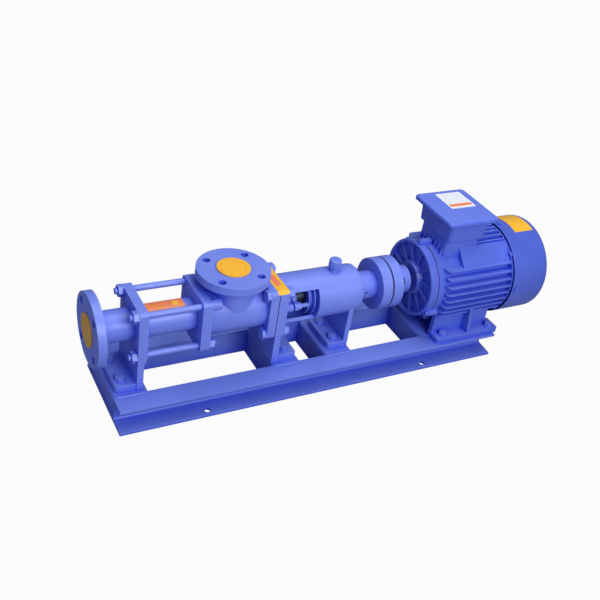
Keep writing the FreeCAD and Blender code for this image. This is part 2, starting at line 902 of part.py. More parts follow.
def bearing_end_cover():
    inner = seal_outer / 2 + fit_gap
    cover = turned([
        (frame_end, bearing_outer / 2),
        (frame_end, frame_radius - 1),
        (cover_end - 2, frame_radius - 1),
        (cover_end, frame_radius - 3),
        (cover_end, inner),
        (frame_end, inner),
        (frame_end, bearing_outer / 2 - 5),
        (bearing_two + bearing_width, bearing_outer / 2 - 5),
        (bearing_two + bearing_width, bearing_outer / 2 - fit_gap),
        (frame_end, bearing_outer / 2 - fit_gap),
    ])
    for y, z, angle in around(6, cover_bolt_circle(), 30):
        cover = cover.cut(rod_x(cover_bolt / 2 + 0.3, frame_end - 1, cover_end + 1, y, z))
    return cover


def cover_bolts():
    bolts = []
    for y, z, angle in around(6, cover_bolt_circle(), 30):
        head = hexagon(cover_bolt * 1.7, Vector(cover_end, y, z), AXIS, cover_bolt * 0.65)
        shank = rod_x(cover_bolt / 2 - fit_gap, frame_end - 12, cover_end + 1, y, z)
        bolts.append(head.fuse(shank))
    return bolts


def seal(x0, x1, shaft):
    return tube_x(seal_outer / 2, shaft / 2 + run_gap, x0, x1)


def ball_radius(bore, outer):
    return (outer - bore) / 4 * ball_share


def bearing_ring(bore, outer, x0, width, inside):
    # One ring of a deep groove bearing, with its ball groove
    pitch = (bore + outer) / 4
    ball = ball_radius(bore, outer)
    land = ball * 0.55
    if inside:
        ring = tube_x(pitch - land, bore / 2 + fit_gap, x0, x0 + width)
    else:
        ring = tube_x(outer / 2, pitch + land, x0, x0 + width)
    groove = Part.makeTorus(pitch, ball + run_gap, Vector(x0 + width / 2, 0, axis_height), AXIS)
    return ring.cut(groove)


def bearing_balls(bore, outer, x0, width):
    pitch = (bore + outer) / 4
    ball = ball_radius(bore, outer)
    return [
        Part.makeSphere(ball, Vector(x0 + width / 2, y, z))
        for y, z, angle in around(ball_count, pitch)
    ]


def drive_shaft():
    end_step = cover_end + 1
    shaft = turned([
        (shaft_left, 0),
        (shaft_left, seal_shaft / 2),
        (bearing_one, seal_shaft / 2),
        (bearing_one, bearing_shaft / 2),
        (end_step, bearing_shaft / 2),
        (end_step, coupling_shaft / 2),
        (shaft_right - 1, coupling_shaft / 2),
        (shaft_right, coupling_shaft / 2 - 1),
        (shaft_right, 0),
    ])
    shaft = shaft.cut(rod_x(socket_radius, shaft_left - 1, drive_joint + socket_back))
    return shaft.cut(key_block(pump_hub_start + 4, shaft_right - 6, coupling_shaft / 2, fit_gap))


def key_block(x0, x1, radius, grow):
    # A key in its seat on top of a shaft, its lower half in the shaft
    half = key_width / 2 + grow
    bottom = axis_height + radius - key_height / 2 - grow
    return block(x0 - grow, x1 + grow, -half, half, bottom, bottom + key_height + 2 * grow)


def bearing_spacer_sleeve():
    return tube_x(bearing_shaft / 2 + 4.5, bearing_shaft / 2 + fit_gap, bearing_one + bearing_width, bearing_two)


def lock_nut():
    x0 = bearing_two + bearing_width
    nut = tube_x(bearing_shaft / 2 + 6, bearing_shaft / 2 + fit_gap, x0, x0 + lock_nut_width)
    for y, z, angle in around(4, bearing_shaft / 2 + 6, 45):
        nut = nut.cut(rod_x(2, x0 - 1, x0 + lock_nut_width + 1, y, z))
    return nut


def slinger():
    x0 = window_end - 14
    return turned([
        (x0, seal_shaft / 2 + fit_gap),
        (x0, slinger_radius),
        (x0 + slinger_width, slinger_radius),
        (x0 + slinger_width, seal_shaft / 2 + 5),
        (x0 + slinger_width * 2, seal_shaft / 2 + 3),
        (x0 + slinger_width * 2, seal_shaft / 2 + fit_gap),
    ])


def grease_cup_body():
    top = axis_height + frame_radius + 3
    return turned_up([
        (0, top - 8),
        (cup_stem - fit_gap, top - 8),
        (cup_stem - fit_gap, top),
        (cup_stem + 3, top),
        (cup_stem + 3, top + cup_neck - 4),
        (cup_radius - 3, top + cup_neck - 2),
        (cup_radius - 3, top + cup_neck + cup_cap_height - 10),
        (0, top + cup_neck + cup_cap_height - 10),
    ], cup_x(), 0)


def grease_cup_cap():
    bottom = axis_height + frame_radius + 3 + cup_neck
    top = bottom + cup_cap_height
    cap = turned_up([
        (0, top - 4),
        (0, top),
        (cup_radius - 2, top),
        (cup_radius, top - 2),
        (cup_radius, bottom),
        (cup_radius - 3 + run_gap, bottom),
        (cup_radius - 3 + run_gap, top - 4),
    ], cup_x(), 0)
    return cap


# Coupling


def coupling_half(hub_x0, hub_x1, flange_x0, flange_x1, shaft, pin_hole, closed_side):
    hub = rod_x(hub_radius, hub_x0, hub_x1)
    flange = rod_x(coupling_radius, flange_x0, flange_x1)
    rims = [edge for edge in flange.Edges if edge.Length > 2 * coupling_radius and len(edge.Vertexes) == 1]
    flange = flange.makeChamfer(1.5, rims)
    half = hub.fuse(flange)
    low = min(hub_x0, flange_x0) - 1
    high = max(hub_x1, flange_x1) + 1
    half = half.cut(rod_x(shaft / 2 + fit_gap, low, high))
    for y, z, angle in around(coupling_pin_count, coupling_circle / 2, 30):
        x0 = flange_x0 + (6 if closed_side < 0 else -1)
        half = half.cut(rod_x(pin_hole / 2, x0, flange_x1 + 1, y, z))
    return half


def coupling_half_pump():
    half = coupling_half(
        pump_hub_start, pump_flange_start + 1, pump_flange_start, element_start,
        coupling_shaft, coupling_bush + 2 * fit_gap, -1
    )
    half = half.cut(key_block(pump_hub_start - 2, element_start + 2, coupling_shaft / 2, fit_gap))
    screw_x = pump_hub_start + pump_hub_length * 0.4
    return half.cut(rod_y(3, -hub_radius - 1, -coupling_shaft / 2, screw_x, axis_height))


def coupling_half_motor():
    half = coupling_half(
        motor_hub_start - 1, motor_hub_end, motor_flange_start, motor_hub_start,
        motor_shaft, coupling_pin + 2 * fit_gap, 1
    )
    return half.cut(key_block(motor_flange_start - 1, motor_hub_end + 2, motor_shaft / 2, fit_gap))


def set_screw():
    screw_x = pump_hub_start + pump_hub_length * 0.4
    return rod_y(3 - fit_gap, -hub_radius + 1, -coupling_shaft / 2 - 0.5, screw_x, axis_height)


def coupling_element_ring():
    ring = tube_x(coupling_radius - 1, coupling_shaft, element_start, motor_flange_start)
    for y, z, angle in around(coupling_pin_count, coupling_circle / 2, 30):
        ring = ring.cut(rod_x(coupling_pin / 2 + fit_gap, element_start - 1, motor_flange_start + 1, y, z))
    return ring


def coupling_pins():
    pins = []
    for y, z, angle in around(coupling_pin_count, coupling_circle / 2, 30):
        pin = rod_x(coupling_pin / 2, pump_flange_start + 7, motor_hub_start + 2, y, z)
        nut = hexagon(coupling_pin * 1.5, Vector(motor_hub_start, y, z), AXIS, coupling_pin * 0.6)
        pins.append(pin.fuse(nut))
    return pins


def coupling_bushes():
    bushes = []
    for y, z, angle in around(coupling_pin_count, coupling_circle / 2, 30):
        bushes.append(tube_x(coupling_bush / 2, coupling_pin / 2 + fit_gap, pump_flange_start + 7, element_start, y, z))
    return bushes


# Motor


def fin_envelope(radius):
    # The outline that the fins reach, with a curved rise behind the front band
    start = shield_joint + fin_start
    end = motor_frame_end - 6
    steps = 4
    rise = []
    for index in range(steps + 1):
        turn = math.pi / 2 * index / steps
        x = start + fin_curl * (1 - math.cos(turn))
        rise.append((x, motor_core_radius - 2 + (radius - motor_core_radius + 2) * math.sin(turn)))
    return turned([(start, 0)] + rise + [(end, radius), (end, 0)])


def motor_fins():
    slabs = []
    reach = motor_fin_radius + 5
    x0 = shield_joint
    x1 = motor_frame_end
    half = fin_thickness / 2
    middle = (side_fin_count - 1) / 2
    for index in range(side_fin_count):
        z = axis_height + (index - middle) * fin_spacing
        for side in (-1, 1):
            inner = side * 60
            outer = side * reach
            slabs.append(block(x0, x1, min(inner, outer), max(inner, outer), z - half, z + half))
    middle = (top_fin_count - 1) / 2
    for index in range(top_fin_count):
        y = (index - middle) * (fin_spacing - 4)
        slabs.append(block(x0, x1, y - half, y + half, axis_height + 70, axis_height + reach))
        slabs.append(block(x0, x1, y - half, y + half, axis_height - reach, axis_height - 70))
    fins = slabs[0].multiFuse(slabs[1:])
    return fins.common(fin_envelope(motor_fin_radius))


def plate_pad(side):
    # The flat pad between the side fins and the top fins
    x0 = shield_joint + plate_pad_start
    pad = block(
        x0, x0 + plate_pad_length, -plate_pad_width / 2, plate_pad_width / 2,
        axis_height + motor_core_radius - 8, axis_height + plate_pad_distance
    )
    return turn_about_axis(pad, side * 45)


def motor_foot(side):
    # Foot plate, the wall that rises to the frame, and a rib across
    outer = side * motor_foot_outer
    inner = side * (motor_foot_outer - motor_foot_width)
    low = min(outer, inner)
    high = max(outer, inner)
    top = motor_foot_bottom + motor_foot_thickness
    plate = rounded_block(motor_foot_left, motor_foot_right, low, high, motor_foot_bottom, top, 6)
    wall_outer = side * (motor_foot_outer - 30)
    wall_inner = side * (motor_foot_outer - 42)
    wall = block(
        motor_foot_left + 8, motor_frame_end - 16, min(wall_outer, wall_inner), max(wall_outer, wall_inner),
        motor_foot_bottom + 2, axis_height - 45
    )
    middle = (motor_foot_left + motor_foot_right) / 2
    web = [
        Vector(middle - 4, side * (motor_foot_outer - 3), top - 1),
        Vector(middle - 4, side * (motor_foot_outer - 3), top + 12),
        Vector(middle - 4, side * (motor_foot_outer - 16), axis_height - 50),
        Vector(middle - 4, side * (motor_foot_outer - 41), axis_height - 50),
        Vector(middle - 4, side * (motor_foot_outer - 41), top - 1),
    ]
    rib = Part.Face(Part.makePolygon(web + web[:1])).extrude(Vector(8, 0, 0))
    foot = union([plate, wall, rib])
    for x in motor_bolt_places():
        boss = rod_z(13, top - 1, top + 3, x, side * foot_hole_spacing / 2)
        foot = foot.fuse(boss)
        hole = rod_z(motor_foot_hole / 2, motor_foot_bottom - 1, top + 4, x, side * foot_hole_spacing / 2)
        foot = foot.cut(hole)
    return foot


def shield_lugs(x0, x1, radius):
    lugs = []
    for y, z, angle in around(4, radius, 45):
        lug = rod_x(lug_size, x0, x1, y, z)
        arm = block(x0, x1, motor_core_radius - 15, radius, axis_height - lug_size, axis_height + lug_size)
        lugs.append(lug.fuse(turn_about_axis(arm, angle)))
    return lugs


def motor_frame():
    core = rod_x(motor_core_radius, shield_joint, motor_frame_end)
    tower = rounded_block(
        lid_x - box_tower_length / 2, lid_x + box_tower_length / 2, -box_tower_width / 2, box_tower_width / 2,
        axis_height, box_bottom_z, 8
    )
    pieces = [core, motor_fins(), tower, plate_pad(1), plate_pad(-1), motor_foot(1), motor_foot(-1)]
    pieces += shield_lugs(shield_joint, shield_joint + 14, lug_radius)
    pieces += shield_lugs(motor_frame_end - 14, motor_frame_end, lug_radius)
    frame = union(pieces)
    frame = frame.cut(rod_x(motor_core_radius - motor_wall, shield_joint - 1, motor_frame_end + 1))
    shaft_way = rounded_block(lid_x - 25, lid_x + 25, -25, 25, axis_height + 60, box_bottom_z + 1, 6)
    frame = frame.cut(shaft_way)
    for y, z, angle in around(4, lug_radius, 45):
        frame = frame.cut(rod_x(4, shield_joint - 1, shield_joint + 15, y, z))
        frame = frame.cut(rod_x(4, motor_frame_end - 15, motor_frame_end + 1, y, z))
    return frame


def motor_end_shield_front():
    # A dished shield: outer rim, sunk web with radial ribs, bearing boss
    rim = motor_core_radius
    seat = motor_bearing_outer / 2 + fit_gap
    web_x = shield_joint - shield_web
    body = turned([
        (shoulder, motor_shaft / 2 + 1.5),
        (shoulder, shield_boss),
        (web_x, shield_boss + 6),
        (web_x, rim - 10),
        (shoulder + 2, rim - 7),
        (shoulder + 2, rim - 2),
        (shoulder + 5, rim),
        (shield_joint, rim),
        (shield_joint, rim - motor_wall - fit_gap),
        (shield_joint + 6, rim - motor_wall - fit_gap),
        (shield_joint + 6, rim - motor_wall - 5),
        (shield_joint, rim - motor_wall - 5),
        (shield_joint, seat + 6),
        (shield_joint + 4, seat + 6),
        (shield_joint + 4, seat),
        (shoulder + 4, seat),
        (shoulder + 4, motor_shaft / 2 + 1.5),
    ])
    ribs = []
    for y, z, angle in around(shield_rib_count, 1, 15):
        rib = block(shoulder + 7, web_x + 1, shield_boss - 2, rim - 8, axis_height - shield_rib / 2,
                    axis_height + shield_rib / 2)
        ribs.append(turn_about_axis(rib, angle))
    body = union([body] + ribs + shield_lugs(shield_joint - 12, shield_joint, lug_radius))
    for y, z, angle in around(4, lug_radius, 45):
        body = body.cut(rod_x(4.5, shield_joint - 13, shield_joint + 1, y, z))
    return body


def motor_end_shield_rear():
    rim = motor_core_radius
    seat = motor_bearing_outer / 2 + fit_gap
    body = turned([
        (motor_frame_end - 6, rim - motor_wall - 5),
        (motor_frame_end - 6, rim - motor_wall - fit_gap),
        (motor_frame_end, rim - motor_wall - fit_gap),
        (motor_frame_end, rim),
        (motor_frame_end + 8, rim),
        (rear_end - 6, seat + 8),
        (rear_end, seat + 6),
        (rear_end, 16),
        (rear_end - 3, 16),
        (rear_end - 3, seat),
        (motor_frame_end - 3, seat),
        (motor_frame_end - 3, seat + 6),
        (motor_frame_end, rim - motor_wall - 5),
    ])
    lugs = shield_lugs(motor_frame_end, motor_frame_end + 10, lug_radius)
    cover_lugs = []
    x0 = motor_frame_end + cover_lug_start
    x1 = x0 + cover_lug_length
    for y, z, angle in around(4, 1, 0):
        arm = block(motor_frame_end + 1, x1, rim - 12, rim - 4, axis_height - 8, axis_height + 8)
        ear = block(x0, x1, rim - 12, cover_radius, axis_height - 8, axis_height + 8)
        ear = ear.common(rod_x(cover_radius - cover_wall - soft_gap, x0, x1))
        cover_lugs.append(turn_about_axis(arm.fuse(ear), angle))
    body = union([body] + lugs + cover_lugs)
    for y, z, angle in around(4, lug_radius, 45):
        body = body.cut(rod_x(4.5, motor_frame_end - 1, motor_frame_end + 11, y, z))
    for y, z, angle in around(4, 1, 0):
        body = body.cut(cover_screw_hole(angle, 2.5))
    return body


def cover_screw_x():
    return motor_frame_end + cover_lug_start + cover_lug_length / 2


def cover_screw_hole(angle, radius):
    hole = Part.makeCylinder(
        radius, 30, Vector(cover_screw_x(), cover_radius - 16, axis_height), BACK
    )
    return turn_about_axis(hole, angle)


def shield_bolts():
    bolts = []
    for y, z, angle in around(4, lug_radius, 45):
        front = hexagon(13, Vector(shield_joint - 12, y, z), AXIS * -1, 5.5)
        bolts.append(front.fuse(rod_x(4 - fit_gap, shield_joint - 13, shield_joint + 12, y, z)))
        rear = hexagon(13, Vector(motor_frame_end + 10, y, z), AXIS, 5.5)
        bolts.append(rear.fuse(rod_x(4 - fit_gap, motor_frame_end - 12, motor_frame_end + 11, y, z)))
    return bolts


def front_motor_bearing():
    return shoulder + 5


def rear_motor_bearing():
    return rear_end - 3 - motor_bearing_width


def motor_shaft_solid():
    core = core_x0()
    fan_seat = rear_end + 2
    shaft = turned([
        (shoulder - motor_shaft_length, 0),
        (shoulder - motor_shaft_length, motor_shaft / 2 - 1),
        (shoulder - motor_shaft_length + 1, motor_shaft / 2),
        (shoulder + 1, motor_shaft / 2),
        (shoulder + 1, motor_bearing_bore / 2),
        (front_motor_bearing() + motor_bearing_width, motor_bearing_bore / 2),
        (front_motor_bearing() + motor_bearing_width, motor_bearing_bore / 2 + 4),
        (rear_motor_bearing(), motor_bearing_bore / 2 + 4),
        (rear_motor_bearing(), motor_bearing_bore / 2),
        (fan_seat, motor_bearing_bore / 2),
        (fan_seat, 12),
        (fan_seat + fan_width + fan_gap, 12),
        (fan_seat + fan_width + fan_gap, 0),
    ])
    return shaft.cut(key_block(shoulder - motor_shaft_length + 5, shoulder - 12, motor_shaft / 2, fit_gap))


def core_x0():
    return shield_joint + core_start


def motor_stator_core():
    return tube_x(
        motor_core_radius - motor_wall - fit_gap, air_gap_radius, core_x0(), core_x0() + core_length
    )


def motor_windings():
    rings = []
    for x0, x1 in ((core_x0() - winding_length, core_x0()), (core_x0() + core_length, core_x0() + core_length + winding_length)):
        rings.append(turned([
            (x0, air_gap_radius + 10),
            (x0, motor_core_radius - motor_wall - 12),
            (x0 + 6, motor_core_radius - motor_wall - 7),
            (x1 - 6, motor_core_radius - motor_wall - 7),
            (x1, motor_core_radius - motor_wall - 12),
            (x1, air_gap_radius + 10),
            (x1 - 6, air_gap_radius + 5),
            (x0 + 6, air_gap_radius + 5),
        ]))
    return rings


def motor_rotor_core():
    return tube_x(
        air_gap_radius - 0.4, motor_bearing_bore / 2 + 4 + fit_gap, core_x0() - 12, core_x0() + core_length + 12
    )


def motor_fan():
    x0 = rear_end + fan_gap
    hub = tube_x(20, 12 + fit_gap, x0, x0 + fan_width)
    disc = tube_x(fan_radius - 20, 19, x0, x0 + 4)
    blades = []
    for y, z, angle in around(fan_blades, 1):
        blade = block(x0, x0 + fan_width - 4, 18, fan_radius, axis_height - 1.5, axis_height + 1.5)
        blades.append(turn_about_axis(blade, angle))
    return union([hub, disc] + blades)


def fan_cover():
    # A deep drawn cover with a rounded end and radial air slots
    outer = rod_x(cover_radius, fan_cover_start, fan_cover_end)
    rim = [edge for edge in outer.Edges if len(edge.Vertexes) == 1 and edge.CenterOfMass.x > fan_cover_end - 1]
    outer = outer.makeFillet(cover_round, rim)
    inner = rod_x(cover_radius - cover_wall, fan_cover_start - 1, fan_cover_end - cover_wall)
    rim = [edge for edge in inner.Edges if len(edge.Vertexes) == 1 and edge.CenterOfMass.x > fan_cover_end - 3]
    inner = inner.makeFillet(cover_round - cover_wall, rim)
    cover = outer.cut(inner)
    slots = []
    for y, z, angle in around(grille_slots, 1, 7.5):
        slot = block(fan_cover_end - 6, fan_cover_end + 1, 42, 90, axis_height - 2.5, axis_height + 2.5)
        slots.append(turn_about_axis(slot, angle))
    cover = cover.cut(slots[0].multiFuse(slots[1:]))
    for y, z, angle in around(4, 1, 0):
        cover = cover.cut(cover_screw_hole(angle, 3))
    return cover


def cover_screws():
    screws = []
    for y, z, angle in around(4, 1, 0):
        shank = Part.makeCylinder(
            2.5 - fit_gap, 15, Vector(cover_screw_x(), cover_radius - 14, axis_height), BACK
        )
        head = Part.makeCylinder(5, 3, Vector(cover_screw_x(), cover_radius, axis_height), BACK)
        screws.append(turn_about_axis(shank.fuse(head), angle))
    return screws


# Terminal box


def tapered_block(x, half_x0, half_y0, z0, half_x1, half_y1, z1, corner):
    # A block whose sides lean out from its foot to its top, with round uprights
    wires = []
    for half_x, half_y, z in ((half_x0, half_y0, z0), (half_x1, half_y1, z1)):
        base = rounded_block(x - half_x, x + half_x, -half_y, half_y, z, z + 1, corner)
        face = min(base.Faces, key=lambda item: item.CenterOfMass.z)
        wires.append(face.OuterWire)
    return Part.makeLoft(wires, True, True)


def terminal_box():
    outer = tapered_block(
        lid_x, box_foot_length / 2, box_foot_width / 2, box_bottom_z,
        box_top_length / 2, box_top_width / 2, box_top_z, lid_corner
    )
    wall = box_side_wall
    inner = tapered_block(
        lid_x, box_foot_length / 2 - wall, box_foot_width / 2 - wall, box_bottom_z + wall,
        box_top_length / 2 - wall, box_top_width / 2 - wall, box_top_z + 1, lid_corner - wall
    )
    box = outer.cut(inner)
    posts = []
    for x, y in lid_screw_places():
        posts.append(rod_z(6, box_bottom_z + 1, box_top_z, x, y))
    box = union([box] + posts)
    box = box.cut(rounded_block(lid_x - 25, lid_x + 25, -25, 25, box_bottom_z - 1, box_bottom_z + wall + 1, 6))
    for x, y in lid_screw_places():
        box = box.cut(rod_z(2.5, box_top_z - 16, box_top_z + 1, x, y))
    entry_z = box_bottom_z + box_height / 2
    return box.cut(rod_y(cable_entry / 2, box_foot_width / 2 - 12, box_top_width / 2 + 5, lid_x, entry_z))


def lid_screw_places():
    places = []
    for side_x in (-1, 1):
        for side_y in (-1, 1):
            places.append((lid_x + side_x * (box_foot_length / 2 - 10), side_y * (box_foot_width / 2 - 10)))
    return places


def terminal_box_lid():
    x0 = lid_x - lid_length / 2
    lid = rounded_block(x0, x0 + lid_length, -lid_width / 2, lid_width / 2, box_top_z, box_top_z + lid_thickness, lid_corner)
    rim = [
        edge for edge in lid.Edges
        if abs(edge.CenterOfMass.z - box_top_z - lid_thickness) < 0.01
    ]
    lid = lid.makeFillet(5, rim)
    hollow = rounded_block(
        x0 + 12, x0 + lid_length - 12, -lid_width / 2 + 12, lid_width / 2 - 12, box_top_z - 1, box_top_z + 8, 6
    )
    posts = [rod_z(7, box_top_z, box_top_z + 9, x, y) for x, y in lid_screw_places()]
    lid = lid.cut(hollow).fuse(posts).removeSplitter()
    for x, y in lid_screw_places():
        lid = lid.cut(rod_z(3, box_top_z - 1, box_top_z + lid_thickness + 1, x, y))
        lid = lid.cut(rod_z(5.5, box_top_z + lid_thickness - 4, box_top_z + lid_thickness + 1, x, y))
    return lid


def lid_screws():
    screws = []
    for x, y in lid_screw_places():
        shank = rod_z(2.5 - fit_gap, box_top_z - 14, box_top_z + lid_thickness - 3, x, y)
        head = rod_z(5, box_top_z + lid_thickness - 4, box_top_z + lid_thickness - 1, x, y)
        screws.append(shank.fuse(head))
    return screws


def terminal_block():
    floor = box_bottom_z + box_side_wall
    block_body = block(lid_x - 32, lid_x + 32, -38, 38, floor, floor + 10)
    block_body = block_body.cut(block(lid_x - 20, lid_x + 20, -24, 24, floor - 1, floor + 4))
    studs = []
    for x in (-18, 0, 18):
        for y in (-12, 12):
            studs.append(rod_z(2.5, floor + 9, floor + 24, lid_x + x, y))
    return union([block_body] + studs)


def cable_gland():
    # The empty cable entry at the back, shut with its screwed nut
    z = box_bottom_z + box_height / 2
    y0 = box_foot_width / 2 - 6
    face = box_top_width / 2 + 1
    body = rod_y(cable_entry / 2 - fit_gap, y0, face + 2, lid_x, z)
    nut = hexagon(cable_entry + 8, Vector(lid_x, face, z), BACK, 8)
    dome = rod_y(cable_entry / 2, face + 7, face + 18, lid_x, z)
    return union([body, nut, dome])


# All nodes


def build():
    os.makedirs("parts", exist_ok=True)
    save("base_rail_front", base_rail(-1))
    save("base_rail_rear", base_rail(1))
    save("cross_member_discharge", cross_member(base_left, plate_one_right + cross_margin, discharge_bolts))
    save(
        "cross_members_frame",
        cross_member(plate_four_left, frame_foot_right + cross_margin, frame_bolts),
        cross_member(pedestal_left - cross_margin, pedestal_right + cross_margin, pedestal_bolts),
    )
    save("cross_member_motor", cross_member(motor_foot_left - 21, base_right, []))
    save(
        "packing_plates",
        packing_plate(foot_left, plate_one_right, discharge_bolts),
        packing_plate(plate_four_left, frame_foot_right, frame_bolts),
        packing_plate(pedestal_left, pedestal_right, pedestal_bolts),
        motor_packing_bar(-1),
        motor_packing_bar(1),
    )
    foot_top = foot_bottom + foot_thickness
    under = rail_height - cross_wall
    fasteners = []
    for x, y in discharge_bolts + frame_bolts + pedestal_bolts:
        fasteners += bolt_down(foot_bolt, x, y, foot_top, under, 2)
    motor_top = motor_foot_bottom + motor_foot_thickness + 3
    for x in motor_bolt_places():
        for side in (-1, 1):
            fasteners += bolt_down(
                motor_foot_hole - 2, x, side * foot_hole_spacing / 2, motor_top, rail_height - rail_root, 2
            )
    save("foot_bolts", *fasteners)

    save("discharge_body", discharge_body())
    save("discharge_cap", port_cap_x())
    save("stator_tube", stator_tube())
    save("stator_rubber", stator_rubber())
    save("rotor", rotor())
    save("connecting_rod", connecting_rod())
    save("rod_pins", *rod_pins())
    save("tie_rods", *tie_rods())
    save("tie_rod_nuts", *tie_rod_nuts())
    save("suction_casing", suction_casing())
    save("suction_cap", port_cap_z())
    save("drain_plug", drain_plug())

    save("flange_gasket", flange_gasket())
    save("flange_bolts", *flange_bolts(), *flange_nuts())
    save("stuffing_box", stuffing_box())
    save("packing_rings", *packing_rings())
    save("packing_gland", packing_gland())
    save("gland_studs", *gland_studs())
    save("gland_nuts", *gland_nuts())
    save("bearing_frame", bearing_frame())
    save("bearing_end_cover", bearing_end_cover())
    save("end_cover_bolts", *cover_bolts())
    save("shaft_seals", seal(window_end + 1, bearing_one - 1, seal_shaft), seal(frame_end, cover_end, bearing_shaft))
    save("grease_cup_body", grease_cup_body())
    save("grease_cup_cap", grease_cup_cap())

    save("drive_shaft", drive_shaft())
    save("bearing_spacer", bearing_spacer_sleeve())
    save("bearing_lock_nut", lock_nut())
    save("slinger_ring", slinger())
    pump_bearings = [(bearing_shaft, bearing_outer, x0, bearing_width) for x0 in (bearing_one, bearing_two)]
    motor_bearings = [
        (motor_bearing_bore, motor_bearing_outer, x0, motor_bearing_width)
        for x0 in (front_motor_bearing(), rear_motor_bearing())
    ]
    bearings = pump_bearings + motor_bearings
    save("bearing_inner_rings", *[bearing_ring(*item, True) for item in bearings])
    save("bearing_outer_rings", *[bearing_ring(*item, False) for item in bearings])
    balls = []
    for item in bearings:
        balls += bearing_balls(*item)
    save("bearing_balls", *balls)

    save("coupling_half_pump", coupling_half_pump())
    save("coupling_half_motor", coupling_half_motor())
    save("coupling_element", coupling_element_ring())
    save("coupling_pins", *coupling_pins())
    save("coupling_bushes", *coupling_bushes())
    save(
        "keys_and_set_screw",
        set_screw(),
        key_block(pump_hub_start + 4, shaft_right - 6, coupling_shaft / 2, 0),
        key_block(shoulder - motor_shaft_length + 5, shoulder - 12, motor_shaft / 2, 0),
    )

    save("motor_frame", motor_frame())
    save("motor_end_shield_front", motor_end_shield_front())
    save("motor_end_shield_rear", motor_end_shield_rear())
    save("end_shield_bolts", *shield_bolts())
    save("motor_shaft", motor_shaft_solid())
    save("motor_rotor_core", motor_rotor_core())
    save("motor_stator_core", motor_stator_core())
    save("motor_windings", *motor_windings())
    save("motor_fan", motor_fan())
    save("fan_cover", fan_cover())
    save("terminal_box", terminal_box())
    save("terminal_box_lid", terminal_box_lid())
    save("cover_screws", *cover_screws(), *lid_screws())
    save("terminal_block", terminal_block())
    save("cable_gland", cable_gland())


build()
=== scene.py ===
import bpy
import bmesh
import json
import random
from math import copysign, cos, hypot, pi, radians, sin, sqrt, tan
from mathutils import Euler, Matrix, Vector
from mathutils.geometry import tessellate_polygon


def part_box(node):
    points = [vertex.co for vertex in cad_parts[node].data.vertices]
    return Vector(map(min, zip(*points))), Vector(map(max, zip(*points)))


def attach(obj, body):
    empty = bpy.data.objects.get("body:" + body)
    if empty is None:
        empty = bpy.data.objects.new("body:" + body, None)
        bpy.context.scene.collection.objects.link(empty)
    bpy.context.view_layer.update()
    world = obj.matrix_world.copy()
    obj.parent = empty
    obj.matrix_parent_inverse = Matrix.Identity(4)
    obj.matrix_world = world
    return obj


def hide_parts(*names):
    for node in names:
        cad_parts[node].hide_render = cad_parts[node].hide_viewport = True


print("loading the packed pump")
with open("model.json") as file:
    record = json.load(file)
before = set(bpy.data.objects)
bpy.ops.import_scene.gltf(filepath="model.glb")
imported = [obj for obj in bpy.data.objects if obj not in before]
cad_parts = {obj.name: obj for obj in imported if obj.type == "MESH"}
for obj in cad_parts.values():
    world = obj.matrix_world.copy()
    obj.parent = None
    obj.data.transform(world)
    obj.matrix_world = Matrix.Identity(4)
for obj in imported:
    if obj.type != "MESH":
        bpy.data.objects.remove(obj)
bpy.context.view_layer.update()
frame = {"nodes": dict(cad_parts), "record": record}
nodes = frame["nodes"]


# Small helpers

def linear(hexValue):
    # sRGB hex to the linear colour that the shaders take
    parts = [int(hexValue[start:start + 2], 16) / 255 for start in (1, 3, 5)]
    return [*(part / 12.92 if part <= 0.04045 else ((part + 0.055) / 1.055) ** 2.4 for part in parts), 1.0]


def addNode(tree, kind, settings=None, links=None):
    # A link comes from a socket, or from the first output of a node
    node = tree.nodes.new("ShaderNode" + kind)
    for name, value in (settings or {}).items():
        if isinstance(name, int) or name in node.inputs:
            node.inputs[name].default_value = value
        else:
            setattr(node, name, value)
    for name, source in (links or {}).items():
        socket = source.outputs[0] if isinstance(source, bpy.types.Node) else source
        tree.links.new(socket, node.inputs[name])
    return node


def fromTo(fromLow, fromHigh, toLow, toHigh):
    return {"From Min": fromLow, "From Max": fromHigh, "To Min": toLow, "To Max": toHigh}


def twoColours(first, second):
    return {"data_type": "RGBA", 6: linear(first), 7: linear(second)}


def emptyTree(owner):
    owner.use_nodes = True
    owner.node_tree.nodes.clear()
    return owner.node_tree


def emptyFinish(name):
    material = bpy.data.materials.new(name)
    tree = emptyTree(material)
    return material, tree, addNode(tree, "TexCoord").outputs["Object"]


def surfaced(material, settings, links):
    tree = material.node_tree
    shader = addNode(tree, "BsdfPrincipled", settings, links)
    addNode(tree, "OutputMaterial", links={"Surface": shader})
    return material


def toScene(name, data):
    item = bpy.data.objects.new(name, data)
    bpy.context.scene.collection.objects.link(item)
    return item


def perMetre(size):
    # Pattern scale from a real spacing in millimetres
    return 1000.0 / size


# Camera, taken from the photograph's own viewpoint

camera = {
    "place": (-0.90597, -1.38546, 1.26653),
    "turn": (55.8118, -8.3094, -27.1271),
    "lens": 52.16,
    "shift": (-0.0078, 0.0071),
}

print("placing the camera")
cameraData = bpy.data.cameras.new("photoCamera")
cameraData.lens = camera["lens"]
cameraData.sensor_width = 36.0
cameraData.shift_x, cameraData.shift_y = camera["shift"]
cameraData.clip_start = 0.05
cameraData.clip_end = 50.0
cameraObject = toScene("photoCamera", cameraData)
cameraObject.location = camera["place"]
cameraObject.rotation_euler = Euler([radians(angle) for angle in camera["turn"]], "XYZ")
bpy.context.scene.camera = cameraObject


# Floor and light

